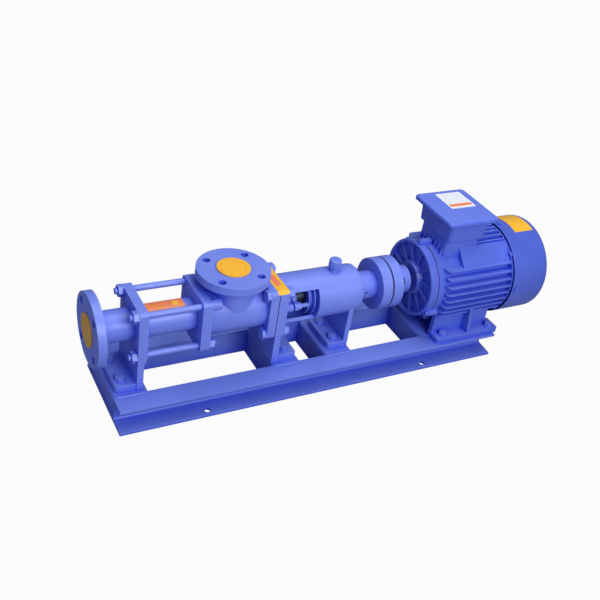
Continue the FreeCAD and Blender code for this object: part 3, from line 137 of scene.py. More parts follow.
studio = {
    "floorSize": 9.0,
    "floorTint": "#8C8E99",
    "floorGlow": 0.96,
    "worldTint": "#D3DDFF",
    "worldLevel": 0.26,
    "lamps": {
        "keySoftbox": {
            "at": (0.2, -2.7, 1.9), "aim": (0.0, 0.0, 0.15), "size": 1.6, "watts": 75.0, "tint": "#FFFFFF"},
        "topSoftbox": {
            "at": (0.4, 0.1, 3.0), "aim": (0.05, 0.0, 0.2), "size": 1.8, "watts": 45.0, "tint": "#FFFFFF"},
        "fillSoftbox": {
            "at": (-2.8, -0.6, 1.2), "aim": (0.0, 0.0, 0.15), "size": 1.4, "watts": 13.0, "tint": "#A4B8FF"},
    },
}


def buildStudio(look):
    print("lighting the studio")
    half = look["floorSize"] / 2
    mesh = bpy.data.meshes.new("studioFloor")
    corners = [(-half, -half, 0), (half, -half, 0), (half, half, 0), (-half, half, 0)]
    mesh.from_pydata(corners, [], [(0, 1, 2, 3)])
    floor = toScene("studioFloor", mesh)
    material = bpy.data.materials.new("paleStudioPaper")
    tree = emptyTree(material)
    # Matt paper, which the camera alone sees as near white, with the shadow kept
    paper = addNode(tree, "BsdfDiffuse", {"Color": linear(look["floorTint"])})
    glow = addNode(tree, "Emission", {"Color": (1, 1, 1, 1), "Strength": 1.0})
    path = addNode(tree, "LightPath")
    share = addNode(tree, "Math", {"operation": "MULTIPLY", 1: look["floorGlow"]},
                    {0: path.outputs["Is Camera Ray"]})
    mixed = addNode(tree, "MixShader", links={0: share, 1: paper, 2: glow})
    addNode(tree, "OutputMaterial", links={"Surface": mixed})
    mesh.materials.append(material)

    world = bpy.data.worlds.new("paleStudio")
    bpy.context.scene.world = world
    sky = emptyTree(world)
    soft = addNode(sky, "Background", {"Color": linear(look["worldTint"]), "Strength": look["worldLevel"]})
    white = addNode(sky, "Background", {"Color": (1, 1, 1, 1), "Strength": 1.0})
    ray = addNode(sky, "LightPath")
    back = addNode(sky, "MixShader", links={0: ray.outputs["Is Camera Ray"], 1: soft, 2: white})
    addNode(sky, "OutputWorld", links={"Surface": back})

    for name, lamp in look["lamps"].items():
        data = bpy.data.lights.new(name, "AREA")
        data.shape = "SQUARE"
        data.size = lamp["size"]
        data.energy = lamp["watts"]
        data.color = linear(lamp["tint"])[:3]
        light = toScene(name, data)
        light.location = lamp["at"]
        light.rotation_euler = (Vector(lamp["aim"]) - Vector(lamp["at"])).to_track_quat("-Z", "Y").to_euler()


buildStudio(studio)
bpy.context.scene.view_settings.view_transform = "Standard"


# Enamel finishes: sizes in millimetres

fastenerSpray = {
    "rough": 0.38, "grain": 1.6, "grainHeight": 0.05, "wave": 9.0, "waveHeight": 0.06, "patch": 25.0,
    "coat": 0.1, "cornerShade": (0.85, 0.02),
}
enamels = {
    "base_paint": {
        "name": "satinEnamelOnRolledChannel", "paint": "#5F74CE", "thinAndLit": "#8A9CF0", "shadeTint": "#2440D0",
        "rough": 0.46, "grain": 2.2, "grainHeight": 0.05, "wave": 38.0, "waveHeight": 0.35,
        "patch": 120.0, "edge": 1.2, "coat": 0.08, "cornerShade": (0.95, 0.05),
    },
    "pump_casting": {
        "name": "satinEnamelOnCastIron", "paint": "#6B7FDA", "thinAndLit": "#92A5F5", "shadeTint": "#3450DE",
        "rough": 0.46, "grain": 1.4, "grainHeight": 0.11, "wave": 22.0, "waveHeight": 0.3,
        "patch": 80.0, "edge": 2.0, "coat": 0.08, "cornerShade": (0.85, 0.04),
    },
    "pump_paint": {
        "name": "satinEnamelOnSteel", "paint": "#6B7FDA", "thinAndLit": "#92A5F5", "shadeTint": "#3450DE",
        "rough": 0.42, "grain": 2.6, "grainHeight": 0.04, "wave": 30.0, "waveHeight": 0.15,
        "patch": 60.0, "edge": 0.9, "coat": 0.1, "cornerShade": (0.85, 0.03),
    },
    "painted_fasteners": {
        "name": "brushedEnamelOnFasteners", "paint": "#697DD8", "thinAndLit": "#8FA2F4", "shadeTint": "#304CDA",
        "edge": 0.7, **fastenerSpray,
    },
    "motor_casting": {
        "name": "satinEnamelOnMotorCasting", "paint": "#4961C8", "thinAndLit": "#7C90EE", "shadeTint": "#2643D4",
        "rough": 0.44, "grain": 1.5, "grainHeight": 0.09, "wave": 24.0, "waveHeight": 0.2,
        "patch": 90.0, "edge": 1.4, "coat": 0.1, "cornerShade": (0.85, 0.018), "litTopShare": 0.4,
    },
    "motor_sheet": {
        "name": "glossEnamelOnDrawnSheet", "paint": "#4259BC", "thinAndLit": "#768AEA", "shadeTint": "#2440CC",
        "rough": 0.4, "grain": 3.0, "grainHeight": 0.03, "wave": 45.0, "waveHeight": 0.12,
        "patch": 110.0, "edge": 1.2, "coat": 0.12, "cornerShade": (0.85, 0.03),
    },
    "motor_fasteners": {
        "name": "brushedEnamelOnMotorScrews", "paint": "#4C64CA", "thinAndLit": "#7F93EF", "shadeTint": "#2844D2",
        "edge": 0.6, **fastenerSpray,
    },
}


def sprayedEnamel(look):
    # Alkyd enamel sprayed over metal: satin sheen with a soft orange peel, the casting's grain under it,
    # paler on the edges, where the paint is thin and a painted highlight lies, and painted shade in the
    # corners
    material, tree, place = emptyFinish(look["name"])
    patches, grain, wave = (
        addNode(tree, "TexNoise", {"Scale": perMetre(look[size]), "Detail": detail, "Roughness": rough},
                {"Vector": place})
        for size, detail, rough in (("patch", 3.0, 0.55), ("grain", 2.0, 0.6), ("wave", 1.0, 0.5)))
    soft = addNode(tree, "Bevel", {"samples": 5, "Radius": look["edge"] / 1000})
    flat = addNode(tree, "NewGeometry").outputs["Normal"]
    # Edges are paler: the paint is thin there, and this is also a painted highlight along them
    turn = addNode(tree, "VectorMath", {"operation": "DOT_PRODUCT"}, {0: soft, 1: flat})
    edge = addNode(tree, "MapRange", fromTo(0.985, 0.78, 0.0, 0.75), {"Value": turn.outputs["Value"]})
    # Painted shade: corners and recesses are mixed towards a darker, deeper blue
    strength, reach = look["cornerShade"]
    corner = addNode(tree, "AmbientOcclusion", {"samples": 6, "Distance": reach})
    cornerShade = addNode(tree, "MapRange", fromTo(0.3, 0.95, strength, 0.0), {"Value": corner.outputs["AO"]})
    mottled = addNode(tree, "MapRange", fromTo(0.3, 0.75, 0.0, 0.22), {"Value": patches})
    # Painted light: flat tops are made paler, as if lit from above
    upward = addNode(tree, "SeparateXYZ", links={0: flat}).outputs["Z"]
    litTops = addNode(tree, "MapRange", fromTo(0.8, 1.0, 0.0, look.get("litTopShare", 0.0)), {"Value": upward})
    colour = addNode(tree, "Mix", twoColours(look["paint"], look["thinAndLit"]), {0: mottled})
    for share, tint in ((litTops, "thinAndLit"), (cornerShade, "shadeTint"), (edge, "thinAndLit")):
        colour = addNode(tree, "Mix", {"data_type": "RGBA", 7: linear(look[tint])},
                         {0: share, 6: colour.outputs[2]})
    sheen = addNode(tree, "MapRange",
                    fromTo(0.25, 0.8, look["rough"] - 0.07, look["rough"] + 0.1), {"Value": grain})
    low = addNode(tree, "Bump", {"Strength": 0.5, "Distance": look["waveHeight"] / 1000},
                  {"Height": wave, "Normal": soft})
    fine = addNode(tree, "Bump", {"Strength": 0.7, "Distance": look["grainHeight"] / 1000},
                   {"Height": grain, "Normal": low})
    return surfaced(
        material, {"IOR": 1.5, "Coat Weight": look["coat"], "Coat Roughness": 0.18, "Coat IOR": 1.5},
        {"Base Color": colour.outputs[2], "Roughness": sheen, "Normal": fine})


# Moulded plastics and rubber

mouldings = {
    "cap_plastic": {
        "name": "mouldedYellowPolyethylene", "body": "#F6B62B", "worn": "#E39A1B", "rough": 0.42,
        "grain": 0.9, "height": 0.02, "patch": 18.0, "glow": 0.12, "edge": 0.8,
    },
    "fan_plastic": {
        "name": "mouldedBlackNylon", "body": "#17181B", "worn": "#2A2B30", "rough": 0.5,
        "grain": 0.7, "height": 0.02, "patch": 25.0, "edge": 0.6,
    },
    "terminal_plastic": {
        "name": "pressedBrownPhenolic", "body": "#2B221D", "worn": "#43362D", "rough": 0.45,
        "grain": 0.8, "height": 0.02, "patch": 15.0, "edge": 0.5,
    },
    "rubber": {
        "name": "mouldedBlackNitrileRubber", "body": "#141416", "worn": "#2C2C30", "rough": 0.62,
        "grain": 0.6, "height": 0.03, "patch": 20.0, "edge": 0.6,
    },
    "gasket": {
        "name": "pressedFibreGasket", "body": "#15171F", "worn": "#2A2D38", "rough": 0.8,
        "grain": 0.5, "height": 0.05, "patch": 10.0, "edge": 0.2,
    },
}


def mouldedSurface(look):
    # Injection-moulded surface: even satin with the tool's fine grain, scuffed a little where it is handled
    material, tree, place = emptyFinish(look["name"])
    patches, grain = (
        addNode(tree, "TexNoise", {"Scale": perMetre(look[size]), "Detail": detail}, {"Vector": place})
        for size, detail in (("patch", 4.0), ("grain", 2.0)))
    soft = addNode(tree, "Bevel", {"samples": 4, "Radius": look["edge"] / 1000})
    scuff = addNode(tree, "MapRange", fromTo(0.5, 0.8, 0.0, 0.6), {"Value": patches})
    body = addNode(tree, "Mix", twoColours(look["body"], look["worn"]), {0: scuff})
    sheen = addNode(tree, "MapRange",
                    fromTo(0.3, 0.7, look["rough"] - 0.05, look["rough"] + 0.1), {"Value": patches})
    fine = addNode(tree, "Bump", {"Strength": 0.6, "Distance": look["height"] / 1000},
                   {"Height": grain, "Normal": soft})
    return surfaced(
        material, {"IOR": 1.5, "Subsurface Weight": look.get("glow", 0.0), "Subsurface Scale": 0.002},
        {"Base Color": body.outputs[2], "Roughness": sheen, "Normal": fine})


# Bare metals

metals = {
    # The shaft's steel is darkened and blued: painted shade inside the window and a painted reflection of the
    # blue walls round it
    "shaft_steel": {
        "name": "turnedSteelPaintedShade", "body": "#50566A", "dull": "#2A2E40", "rough": 0.42,
        "groove": 0.5, "height": 0.006, "stretch": (1.0, 0.02, 0.02),
    },
    "rotor_steel": {
        "name": "polishedHardChrome", "body": "#C9CCD2", "dull": "#A4A8B0", "rough": 0.12,
        "groove": 0.8, "height": 0.002, "stretch": (1.0, 0.1, 0.1),
    },
    "bearing_steel": {
        "name": "groundBearingSteel", "body": "#BDC0C6", "dull": "#989CA4", "rough": 0.2,
        "groove": 0.4, "height": 0.003, "stretch": (1.0, 0.05, 0.05),
    },
    "core_steel": {
        "name": "stackedElectricalSteel", "body": "#6E7076", "dull": "#3F4147", "rough": 0.42,
        "groove": 1.0, "height": 0.05, "stretch": (1.0, 0.01, 0.01),
    },
    "brass": {
        "name": "nickelPlatedBrass", "body": "#C9B98A", "dull": "#A39160", "rough": 0.26,
        "groove": 0.5, "height": 0.004, "stretch": (0.05, 1.0, 0.05),
    },
    "copper": {
        "name": "varnishedCopperWire", "body": "#B4602E", "dull": "#6E3415", "rough": 0.35,
        "groove": 1.2, "height": 0.35, "stretch": (1.0, 0.2, 0.2),
    },
}


def machinedMetal(look):
    # Turned or ground metal: fine rings round the axis that spread the shine, with duller patches
    material, tree, place = emptyFinish(look["name"])
    lined = addNode(tree, "Mapping", {"Scale": look["stretch"]}, {"Vector": place})
    rings = addNode(tree, "TexNoise", {"Scale": perMetre(look["groove"]), "Detail": 3.0}, {"Vector": lined})
    patches = addNode(tree, "TexNoise", {"Scale": perMetre(20.0), "Detail": 3.0}, {"Vector": place})
    soft = addNode(tree, "Bevel", {"samples": 4, "Radius": 0.0005})
    body = addNode(tree, "Mix", twoColours(look["body"], look["dull"]), {0: patches})
    sheen = addNode(tree, "MapRange",
                    fromTo(0.3, 0.7, look["rough"] - 0.05, look["rough"] + 0.12), {"Value": rings})
    fine = addNode(tree, "Bump", {"Strength": 0.5, "Distance": look["height"] / 1000},
                   {"Height": rings, "Normal": soft})
    return surfaced(material, {"Metallic": 1.0}, {
        "Base Color": body.outputs[2], "Roughness": sheen, "Normal": fine})


packingBraid = {
    "name": "greasedBraidedPacking", "body": "#8C8368", "dark": "#4A4433", "strand": 2.0, "height": 0.5,
}


def braidedPacking(look):
    # Plaited yarn soaked in tallow: crossing strands, two millimetres wide
    material, tree, place = emptyFinish(look["name"])
    scale = perMetre(look["strand"]) / 6.3
    strands = [
        addNode(tree, "TexWave",
                {"bands_direction": direction, "Scale": scale, "Distortion": 2.0}, {"Vector": place})
        for direction in ("X", "DIAGONAL")]
    plait = addNode(tree, "Math", {"operation": "MAXIMUM"},
                    {index: strand.outputs["Fac"] for index, strand in enumerate(strands)})
    body = addNode(tree, "Mix", twoColours(look["dark"], look["body"]), {0: plait})
    raised = addNode(tree, "Bump", {"Strength": 0.8, "Distance": look["height"] / 1000}, {"Height": plait})
    return surfaced(material, {"Roughness": 0.7, "IOR": 1.45}, {
        "Base Color": body.outputs[2], "Normal": raised})


print("making the finishes")
finishes = {slot: sprayedEnamel(look) for slot, look in enamels.items()}
finishes.update({slot: mouldedSurface(look) for slot, look in mouldings.items()})
finishes.update({slot: machinedMetal(look) for slot, look in metals.items()})
finishes["packing"] = braidedPacking(packingBraid)

print("painting the pump's own pieces")
for row in frame["record"]["subparts"]:
    mesh = nodes[row["node"]].data
    mesh.materials.clear()
    mesh.materials.append(finishes[row["material_slot"]])

# The slinger ring was sprayed over with the rest of the pump
nodes["slinger_ring"].data.materials[0] = finishes["pump_paint"]


# Solids in mesh code: millimetres, x along the pump, y across it, z up from the floor

axisUp = 193.0


def atTurn(radius, turn, centre=(0.0, axisUp)):
    return centre[0] + radius * cos(turn), centre[1] + radius * sin(turn)


def circle(radius, centre=(0.0, axisUp), steps=64):
    return [atTurn(radius, 2 * pi * index / steps, centre) for index in range(steps)]


def hexagon(across, centre):
    return circle(across / sqrt(3), centre, 6)


def rounded(halfA, halfB, corner, centre=(0.0, axisUp), steps=7):
    # A rectangle's outline with round corners
    outline = []
    for quarter, (signA, signB) in enumerate(((1, 1), (-1, 1), (-1, -1), (1, -1))):
        for step in range(steps + 1):
            middle = (centre[0] + signA * (halfA - corner), centre[1] + signB * (halfB - corner))
            outline.append(atTurn(corner, pi / 2 * (quarter + step / steps), middle))
    return outline


def bridge(shape, first, second):
    # Faces between two closed loops of as many points
    for index in range(len(first)):
        after = (index + 1) % len(first)
        shape.faces.new((first[index], first[after], second[after], second[index]))


def prism(shape, outline, start, end, axis="X", holes=()):
    # A slab from start to end along an axis, with holes through it
    loops = [outline, *holes]
    place = {
        "X": lambda a, b, depth: (depth, a, b),
        "Y": lambda a, b, depth: (a, depth, b),
        "Z": lambda a, b, depth: (a, b, depth),
    }[axis]
    triangles = tessellate_polygon([[Vector((a, b, 0)) for a, b in loop] for loop in loops])
    points = [point for loop in loops for point in loop]
    layers = [[shape.verts.new(place(a, b, depth)) for a, b in points] for depth in (start, end)]
    for layer in layers:
        for triangle in triangles:
            shape.faces.new([layer[index] for index in triangle])
    first = 0
    for loop in loops:
        last = first + len(loop)
        bridge(shape, layers[0][first:last], layers[1][first:last])
        first = last


def block(shape, x, y, z):
    prism(shape, [(x[0], y[0]), (x[1], y[0]), (x[1], y[1]), (x[0], y[1])], z[0], z[1], "Z")


def lathe(shape, profile, axis="X", centre=(0.0, axisUp), steps=112):
    # A closed profile of (along, radius) turned round an axis
    rows = []
    for index in range(steps):
        turn = 2 * pi * index / steps
        row = []
        for along, radius in profile:
            a, b = atTurn(radius, turn, centre)
            row.append(shape.verts.new((along, a, b) if axis == "X" else (a, b, along)))
        rows.append(row)
    for first, second in zip(rows, rows[1:] + rows[:1]):
        bridge(shape, first, second)


def loft(shape, rings):
    # A skin through rings of points, closed at both ends
    rows = [[shape.verts.new(point) for point in points] for points in rings]
    for first, second in zip(rows, rows[1:]):
        bridge(shape, first, second)
    shape.faces.new(rows[0])
    shape.faces.new(rows[-1])


def spun(shape, angle, build):
    # Whatever build adds, turned round the pump axis
    before = len(shape.verts)
    build()
    shape.verts.ensure_lookup_table()
    bmesh.ops.rotate(
        shape, verts=shape.verts[before:], cent=(0.0, 0.0, axisUp),
        matrix=Matrix.Rotation(radians(angle), 3, "X"))


def acrossAxis(half):
    return axisUp - half, axisUp + half


def bar(shape, radius, place, start, end, axis="X", steps=40):
    prism(shape, circle(radius, place, steps), start, end, axis)


def hexHeads(shape, places, start, end, across):
    for place in places:
        prism(shape, hexagon(across, place), start, end)


def meshObject(name, shape):
    bmesh.ops.recalc_face_normals(shape, faces=shape.faces)
    mesh = bpy.data.meshes.new(name)
    shape.to_mesh(mesh)
    shape.free()
    return toScene(name, mesh)


def cutAway(shape, tool):
    # What is left of a closed shape when a closed tool is taken out of it
    pair = [meshObject("cutting", part) for part in (shape, tool)]
    cut = pair[0].modifiers.new("cut", "BOOLEAN")
    cut.operation, cut.solver, cut.object = "DIFFERENCE", "EXACT", pair[1]
    left = bmesh.new()
    left.from_mesh(pair[0].evaluated_get(bpy.context.evaluated_depsgraph_get()).to_mesh())
    for item in pair:
        mesh = item.data
        bpy.data.objects.remove(item)
        bpy.data.meshes.remove(mesh)
    return left


def smoothPiece(name, shape, slotName, body):
    # A shape as a smooth painted piece that rides on a body
    piece = meshObject(name, shape)
    piece.data.shade_smooth()
    piece.data.materials.append(finishes[slotName])
    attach(piece, body)
    return piece


def newPiece(name, shape, slotName, standsFor=(), body="pump_frame"):
    # The same from a shape in millimetres, with sharp edges, in place of the nodes that it stands for
    bmesh.ops.scale(shape, vec=(0.001, 0.001, 0.001), verts=shape.verts)
    piece = smoothPiece(name, shape, slotName, body)
    piece.data.set_sharp_from_angle(angle=radians(32.0))
    if standsFor:
        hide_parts(*standsFor)


# What the castings share: height of the rails, square plates with bolts at their corners, port flanges, feet.
# Parts of a casting overlap, and faces that would lie in one plane stand "apart"

rail = 63.0
apart = 0.2
plates = {"half": (62.0, 61.0), "corner": 9.0, "tubeBore": 35.2, "rodOffset": 49.5}
ports = {"outer": 80.0, "bore": 25.0, "boltCircle": 62.5, "bolt": 9.0}
feet = {"top": 78.0, "corner": 8.0, "half": 59.0, "legTop": 150.0}
rodPlaces = [
    (y, axisUp + z) for y in (-plates["rodOffset"], plates["rodOffset"])
    for z in (-plates["rodOffset"], plates["rodOffset"])]


def squarePlate(shape, start, end, bore):
    prism(shape, rounded(*plates["half"], plates["corner"]), start, end, "X", [circle(bore)])


def portFlange(shape, start, end, axis, centre):
    reach = ports["boltCircle"] * sqrt(0.5)
    holes = [circle(ports["bolt"], (centre[0] + a * reach, centre[1] + b * reach), 32)
             for a in (-1, 1) for b in (-1, 1)]
    holes.append(circle(ports["bore"], centre))
    prism(shape, circle(ports["outer"], centre, 128), start, end, axis, holes)


def footPlate(shape, x, half):
    outline = rounded((x[1] - x[0]) / 2, half, feet["corner"], (sum(x) / 2, 0.0))
    prism(shape, outline, rail, feet["top"], "Z")


def plateLeg(shape, x):
    half = plates["half"][0] - apart
    block(shape, x, (-half, half), (rail + 1, feet["legTop"]))


# Discharge body: flange, neck that flares into the square plate, leg and foot

dischargeBody = {
    "flange": (-514.6, -496.6), "neck": 34.5, "fillet": 4.0, "flare": 20.0, "mouth": (30.0, 35.0),
    "plate": (-428.0, -408.0), "leg": (-427.8, -414.0), "lip": (126.0, 132.5, 140.0), "lipHalf": 61.6,
    "foot": (-472.0, -411.0),
}


def buildDischargeBody(look):
    print("casting the discharge body")
    shape = bmesh.new()
    portFlange(shape, *look["flange"], "X", (0.0, axisUp))
    face, plate, neck, fillet = look["flange"][1], look["plate"][0], look["neck"], look["fillet"]
    bore = ports["bore"] + apart
    flareStart = plate - look["flare"]
    inside, outside = look["mouth"]
    lathe(shape, [
        (face - fillet, bore), (face - fillet, neck), (face, neck + fillet),
        (face + 0.3 * fillet, neck + 0.325 * fillet), (face + fillet, neck), (flareStart, neck),
        (plate, outside), (plate + 4, outside), (plate + 4, inside), (plate, inside), (flareStart, bore)])
    squarePlate(shape, *look["plate"], plates["tubeBore"])
    plateLeg(shape, look["leg"])
    # The plate's lower edge runs down into the leg
    bottom, edge, top = look["lip"]
    back, front = look["leg"][1] - 1, look["plate"][1] - 0.3
    prism(shape, [(back, bottom), (back, top), (front, top), (front, edge)],
          -look["lipHalf"], look["lipHalf"], "Y")
    footPlate(shape, look["foot"], feet["half"])
    newPiece("discharge_casting", shape, "pump_casting", ["discharge_body"])


# Suction casing: barrel between two square plates, nozzle and flange on top, bosses for the upper tie rods

suctionCasing = {
    "plateIn": (-293.0, -271.0), "plateOut": (-138.0, -118.5), "barrel": 52.0, "wall": 7.0, "sunk": 3.0,
    "nozzle": 50.0, "nozzleX": -205.5, "nozzleStart": 213.0, "flange": (274.5, 292.5), "fillet": 2.5,
    "boss": 12.0, "bossEnd": -251.0, "web": (44.0, 69.0), "webHalf": 8.0, "drain": 13.0,
}


def buildSuctionCasing(look):
    print("casting the suction casing")
    shape = bmesh.new()
    outer, wall = look["barrel"], look["wall"]
    start, end = look["plateIn"][1] - look["sunk"], look["plateOut"][0] + look["sunk"]
    squarePlate(shape, *look["plateIn"], plates["tubeBore"])
    squarePlate(shape, *look["plateOut"], outer - wall)
    lathe(shape, [(start, outer - wall), (start, outer), (end, outer), (end, outer - wall)])
    centre = (look["nozzleX"], 0.0)
    nozzle, low, fillet = look["nozzle"], look["flange"][0], look["fillet"]
    lathe(shape, [
        (look["nozzleStart"], nozzle - wall), (look["nozzleStart"], nozzle), (low - fillet, nozzle),
        (low - 0.32 * fillet, nozzle + 0.32 * fillet), (low, nozzle + fillet), (low + 4, nozzle + fillet),
        (low + 4, nozzle - wall)], "Z", centre)
    portFlange(shape, *look["flange"], "Z", centre)
    bossStart = look["plateIn"][1] - 2
    for y, z in rodPlaces:
        if z > axisUp:
            bar(shape, look["boss"], (y, z), bossStart, look["bossEnd"])
            spun(shape, 45.0 if y > 0 else 135.0, lambda: block(
                shape, (bossStart, look["bossEnd"] - 0.3), look["web"], acrossAxis(look["webHalf"])))
    bottom = axisUp - outer
    bar(shape, look["drain"], centre, bottom - 4, bottom + 6, "Z", 48)
    newPiece("suction_casting", shape, "pump_casting", ["suction_casing"])


# Bearing frame: plate, barrel with a window at each side, inner bearing cover, front leg and rear pedestal

bearingFrame = {
    "plate": (-116.7, -95.0), "plateBore": 44.2, "barrel": 56.0, "chamber": 48.0, "windowEnd": -11.0,
    "end": 95.0, "bearingBore": 36.2, "shaftBore": 26.2, "wall": 6.0, "opening": 45.0,
    "innerCover": [
        (-31.5, 33.0), (-31.5, 42.0), (-29.5, 42.0), (-29.5, 35.0), (-19.5, 35.0), (-19.5, 47.0),
        (-17.5, 47.0), (-17.5, 38.0), (-10.0, 38.0), (-10.0, 33.0)],
    "leg": (-116.5, -101.0), "foot": (-117.0, -53.0), "rearFoot": (34.0, 87.0), "rearHalf": 52.0,
    "web": (75.0, 86.8), "webHalf": 50.0, "webTop": 181.0, "cup": (10.0, 238.0, 252.0),
}


def buildBearingFrame(look):
    print("casting the bearing frame")
    outer, inner, window, end = look["barrel"], look["chamber"], look["windowEnd"], look["end"]
    start = look["plate"][1] - 2
    wallEnd = window + look["wall"]
    barrel = bmesh.new()
    lathe(barrel, [
        (start, outer), (end, outer), (end, look["bearingBore"]), (wallEnd, look["bearingBore"]),
        (wallEnd, look["shaftBore"]), (window, look["shaftBore"]), (window, inner), (start, inner)])
    wedges = bmesh.new()
    reach = 2 * outer
    rise = reach * tan(radians(look["opening"]))
    for side in (-1, 1):
        wedge = [(side * 1.0, axisUp), (side * reach, axisUp - rise), (side * reach, axisUp + rise)]
        prism(wedges, wedge, look["plate"][1] + 0.1, window)
    shape = cutAway(barrel, wedges)
    squarePlate(shape, *look["plate"], look["plateBore"])
    # The inner cover is seen through the window
    lathe(shape, look["innerCover"])
    plateLeg(shape, look["leg"])
    footPlate(shape, look["foot"], feet["half"])
    footPlate(shape, look["rearFoot"], look["rearHalf"])
    block(shape, look["web"], (-look["webHalf"], look["webHalf"]), (rail + 1, look["webTop"]))
    radius, low, top = look["cup"]
    bar(shape, radius, (greaseCup["x"], 0.0), low, top, "Z")
    newPiece("bearing_casting", shape, "pump_casting", ["bearing_frame"])


# Tie rods, flange bolts and foot bolts with their nuts, and the gasket between the two middle plates

fasteners = {
    "rod": 7.0, "across": 23.8, "nut": 11.2, "head": 9.1, "overhang": 15.4,
    "rodStart": -445.0, "upperEnd": -262.0, "lowerEnd": -254.0,
    "gasket": (-118.4, -116.8), "gasketHalf": (60.0, 59.0), "gasketCorner": 8.5, "gasketBore": 46.0,
}
footBolts = {
    "places": [
        (-457.0, 36.0, 78.0), (-77.0, 36.0, 78.0), (54.0, 32.0, 78.0),
        (331.0, 95.0, 76.0), (471.0, 95.0, 76.0)],
    "rod": 5.0, "washer": (10.5, 2.0), "across": 17.0, "head": 6.4, "nut": (48.0, 56.0), "end": 44.0,
}


def buildFasteners(look):
    print("fitting the tie rods and flange bolts")
    rod, across, nut = look["rod"], look["across"], look["nut"]
    left, right = dischargeBody["plate"][0], suctionCasing["plateIn"][1]
    shape = bmesh.new()
    for y, z in rodPlaces:
        end = look["upperEnd"] if z > axisUp else look["lowerEnd"]
        bar(shape, rod, (y, z), look["rodStart"], end)
    newPiece("tie_rod_bars", shape, "painted_fasteners", ["tie_rods"])
    shape = bmesh.new()
    hexHeads(shape, rodPlaces, left - nut, left, across)
    hexHeads(shape, [place for place in rodPlaces if place[1] < axisUp], right, right + nut, across)
    newPiece("tie_rod_hex_nuts", shape, "painted_fasteners", ["tie_rod_nuts"])
    left, right = suctionCasing["plateOut"][0], bearingFrame["plate"][1]
    shape = bmesh.new()
    hexHeads(shape, rodPlaces, left - look["head"], left, across)
    hexHeads(shape, rodPlaces, right, right + nut, across)
    for place in rodPlaces:
        bar(shape, rod, place, left - 1, right + look["overhang"])
    newPiece("flange_hex_bolts", shape, "painted_fasteners", ["flange_bolts"])
    shape = bmesh.new()
    outline = rounded(*look["gasketHalf"], look["gasketCorner"])
    prism(shape, outline, *look["gasket"], "X", [circle(look["gasketBore"])])
    newPiece("flange_joint_gasket", shape, "gasket", ["flange_gasket"])


def buildFootBolts(look):
    print("bolting the feet down")
    shape = bmesh.new()
    washer, thickness = look["washer"]
    for x, half, top in look["places"]:
        for y in (-half, half):
            seat = top + thickness
            bar(shape, washer, (x, y), top, seat, "Z")
            prism(shape, hexagon(look["across"], (x, y)), seat, seat + look["head"], "Z")
            bar(shape, look["rod"], (x, y), look["end"], top + 3.0, "Z", 32)
            prism(shape, hexagon(look["across"], (x, y)), *look["nut"], "Z")
    newPiece("foot_hex_bolts", shape, "painted_fasteners", ["foot_bolts"])


# Grease cup: stem with a collar, and the ribbed cap that turns on it

greaseCup = {
    "x": 46.0, "bore": 2.0, "stem": (6.0, 246.0), "collar": (10.0, 252.0), "thread": 8.5,
    "cap": (256.0, 277.0), "radius": 14.0, "inside": 9.0, "vent": 0.6, "roof": 4.0, "ribs": 36, "rib": 0.75,
}


def buildGreaseCup(look):
    print("turning the grease cup")
    centre = (look["x"], 0.0)
    low, high = look["cap"]
    stem, stemLow = look["stem"]
    collar, collarLow = look["collar"]
    bore, thread, threadTop = look["bore"], look["thread"], high - 6
    shape = bmesh.new()
    lathe(shape, [
        (stemLow, bore), (stemLow, stem), (collarLow, stem), (collarLow, collar), (low - 0.3, collar),
        (low - 0.3, thread), (threadTop, thread), (threadTop, bore)], "Z", centre, steps=64)
    newPiece("grease_cup_stem", shape, "pump_paint", ["grease_cup_body"])
    shape = bmesh.new()
    radius, inside, vent, roof = look["radius"], look["inside"], look["vent"], high - look["roof"]
    lathe(shape, [
        (low, inside), (low, radius - 0.8), (low + 0.8, radius - 0.3), (high - 2.5, radius - 0.3),
        (high - 0.8, radius - 1.2), (high, radius - 3), (high, vent), (roof, vent), (roof, inside)],
        "Z", centre, steps=96)
    for middle in circle(radius - 0.5, centre, look["ribs"]):
        bar(shape, look["rib"], middle, low + 1.2, high - 3.2, "Z", 8)
    newPiece("grease_cup_lid", shape, "pump_paint", ["grease_cup_cap"], "grease_cap")


# Motor frame: drum with fins, pads and tower, feet with a wall and a rib, lugs for the shield bolts

motorShape = {
    "joint": 285.0, "end": 490.0, "core": 94.0, "fin": 112.0, "wall": 6.0, "chamfer": 1.5,
    "finStart": 301.0, "curl": 12.0, "finHalf": 2.0, "sideFins": (8, 18.0), "topFins": (7, 14.0),
    "pad": (350.0, 489.5), "padSpan": (-20.0, 37.0), "padRise": (86.0, 107.0),
    "foot": (306.5, 491.5), "footY": (65.0, 111.0), "footTop": 76.0, "footCorner": 6.0,
    "footWall": (69.0, 81.0), "wallEnd": 470.0, "rib": (395.0, 403.0), "ribLean": (3.0, 14.0, 12.0),
    "lugAngles": (90.0, 210.0, 330.0), "lugReach": 98.0, "lug": 8.0, "lugLength": 14.0,
    "tower": (48.0, 52.0, 8.0), "towerRise": (273.0, 322.0),
}


def finOffsets(row):
    count, spacing = row
    return [(index - (count - 1) / 2) * spacing for index in range(count)]


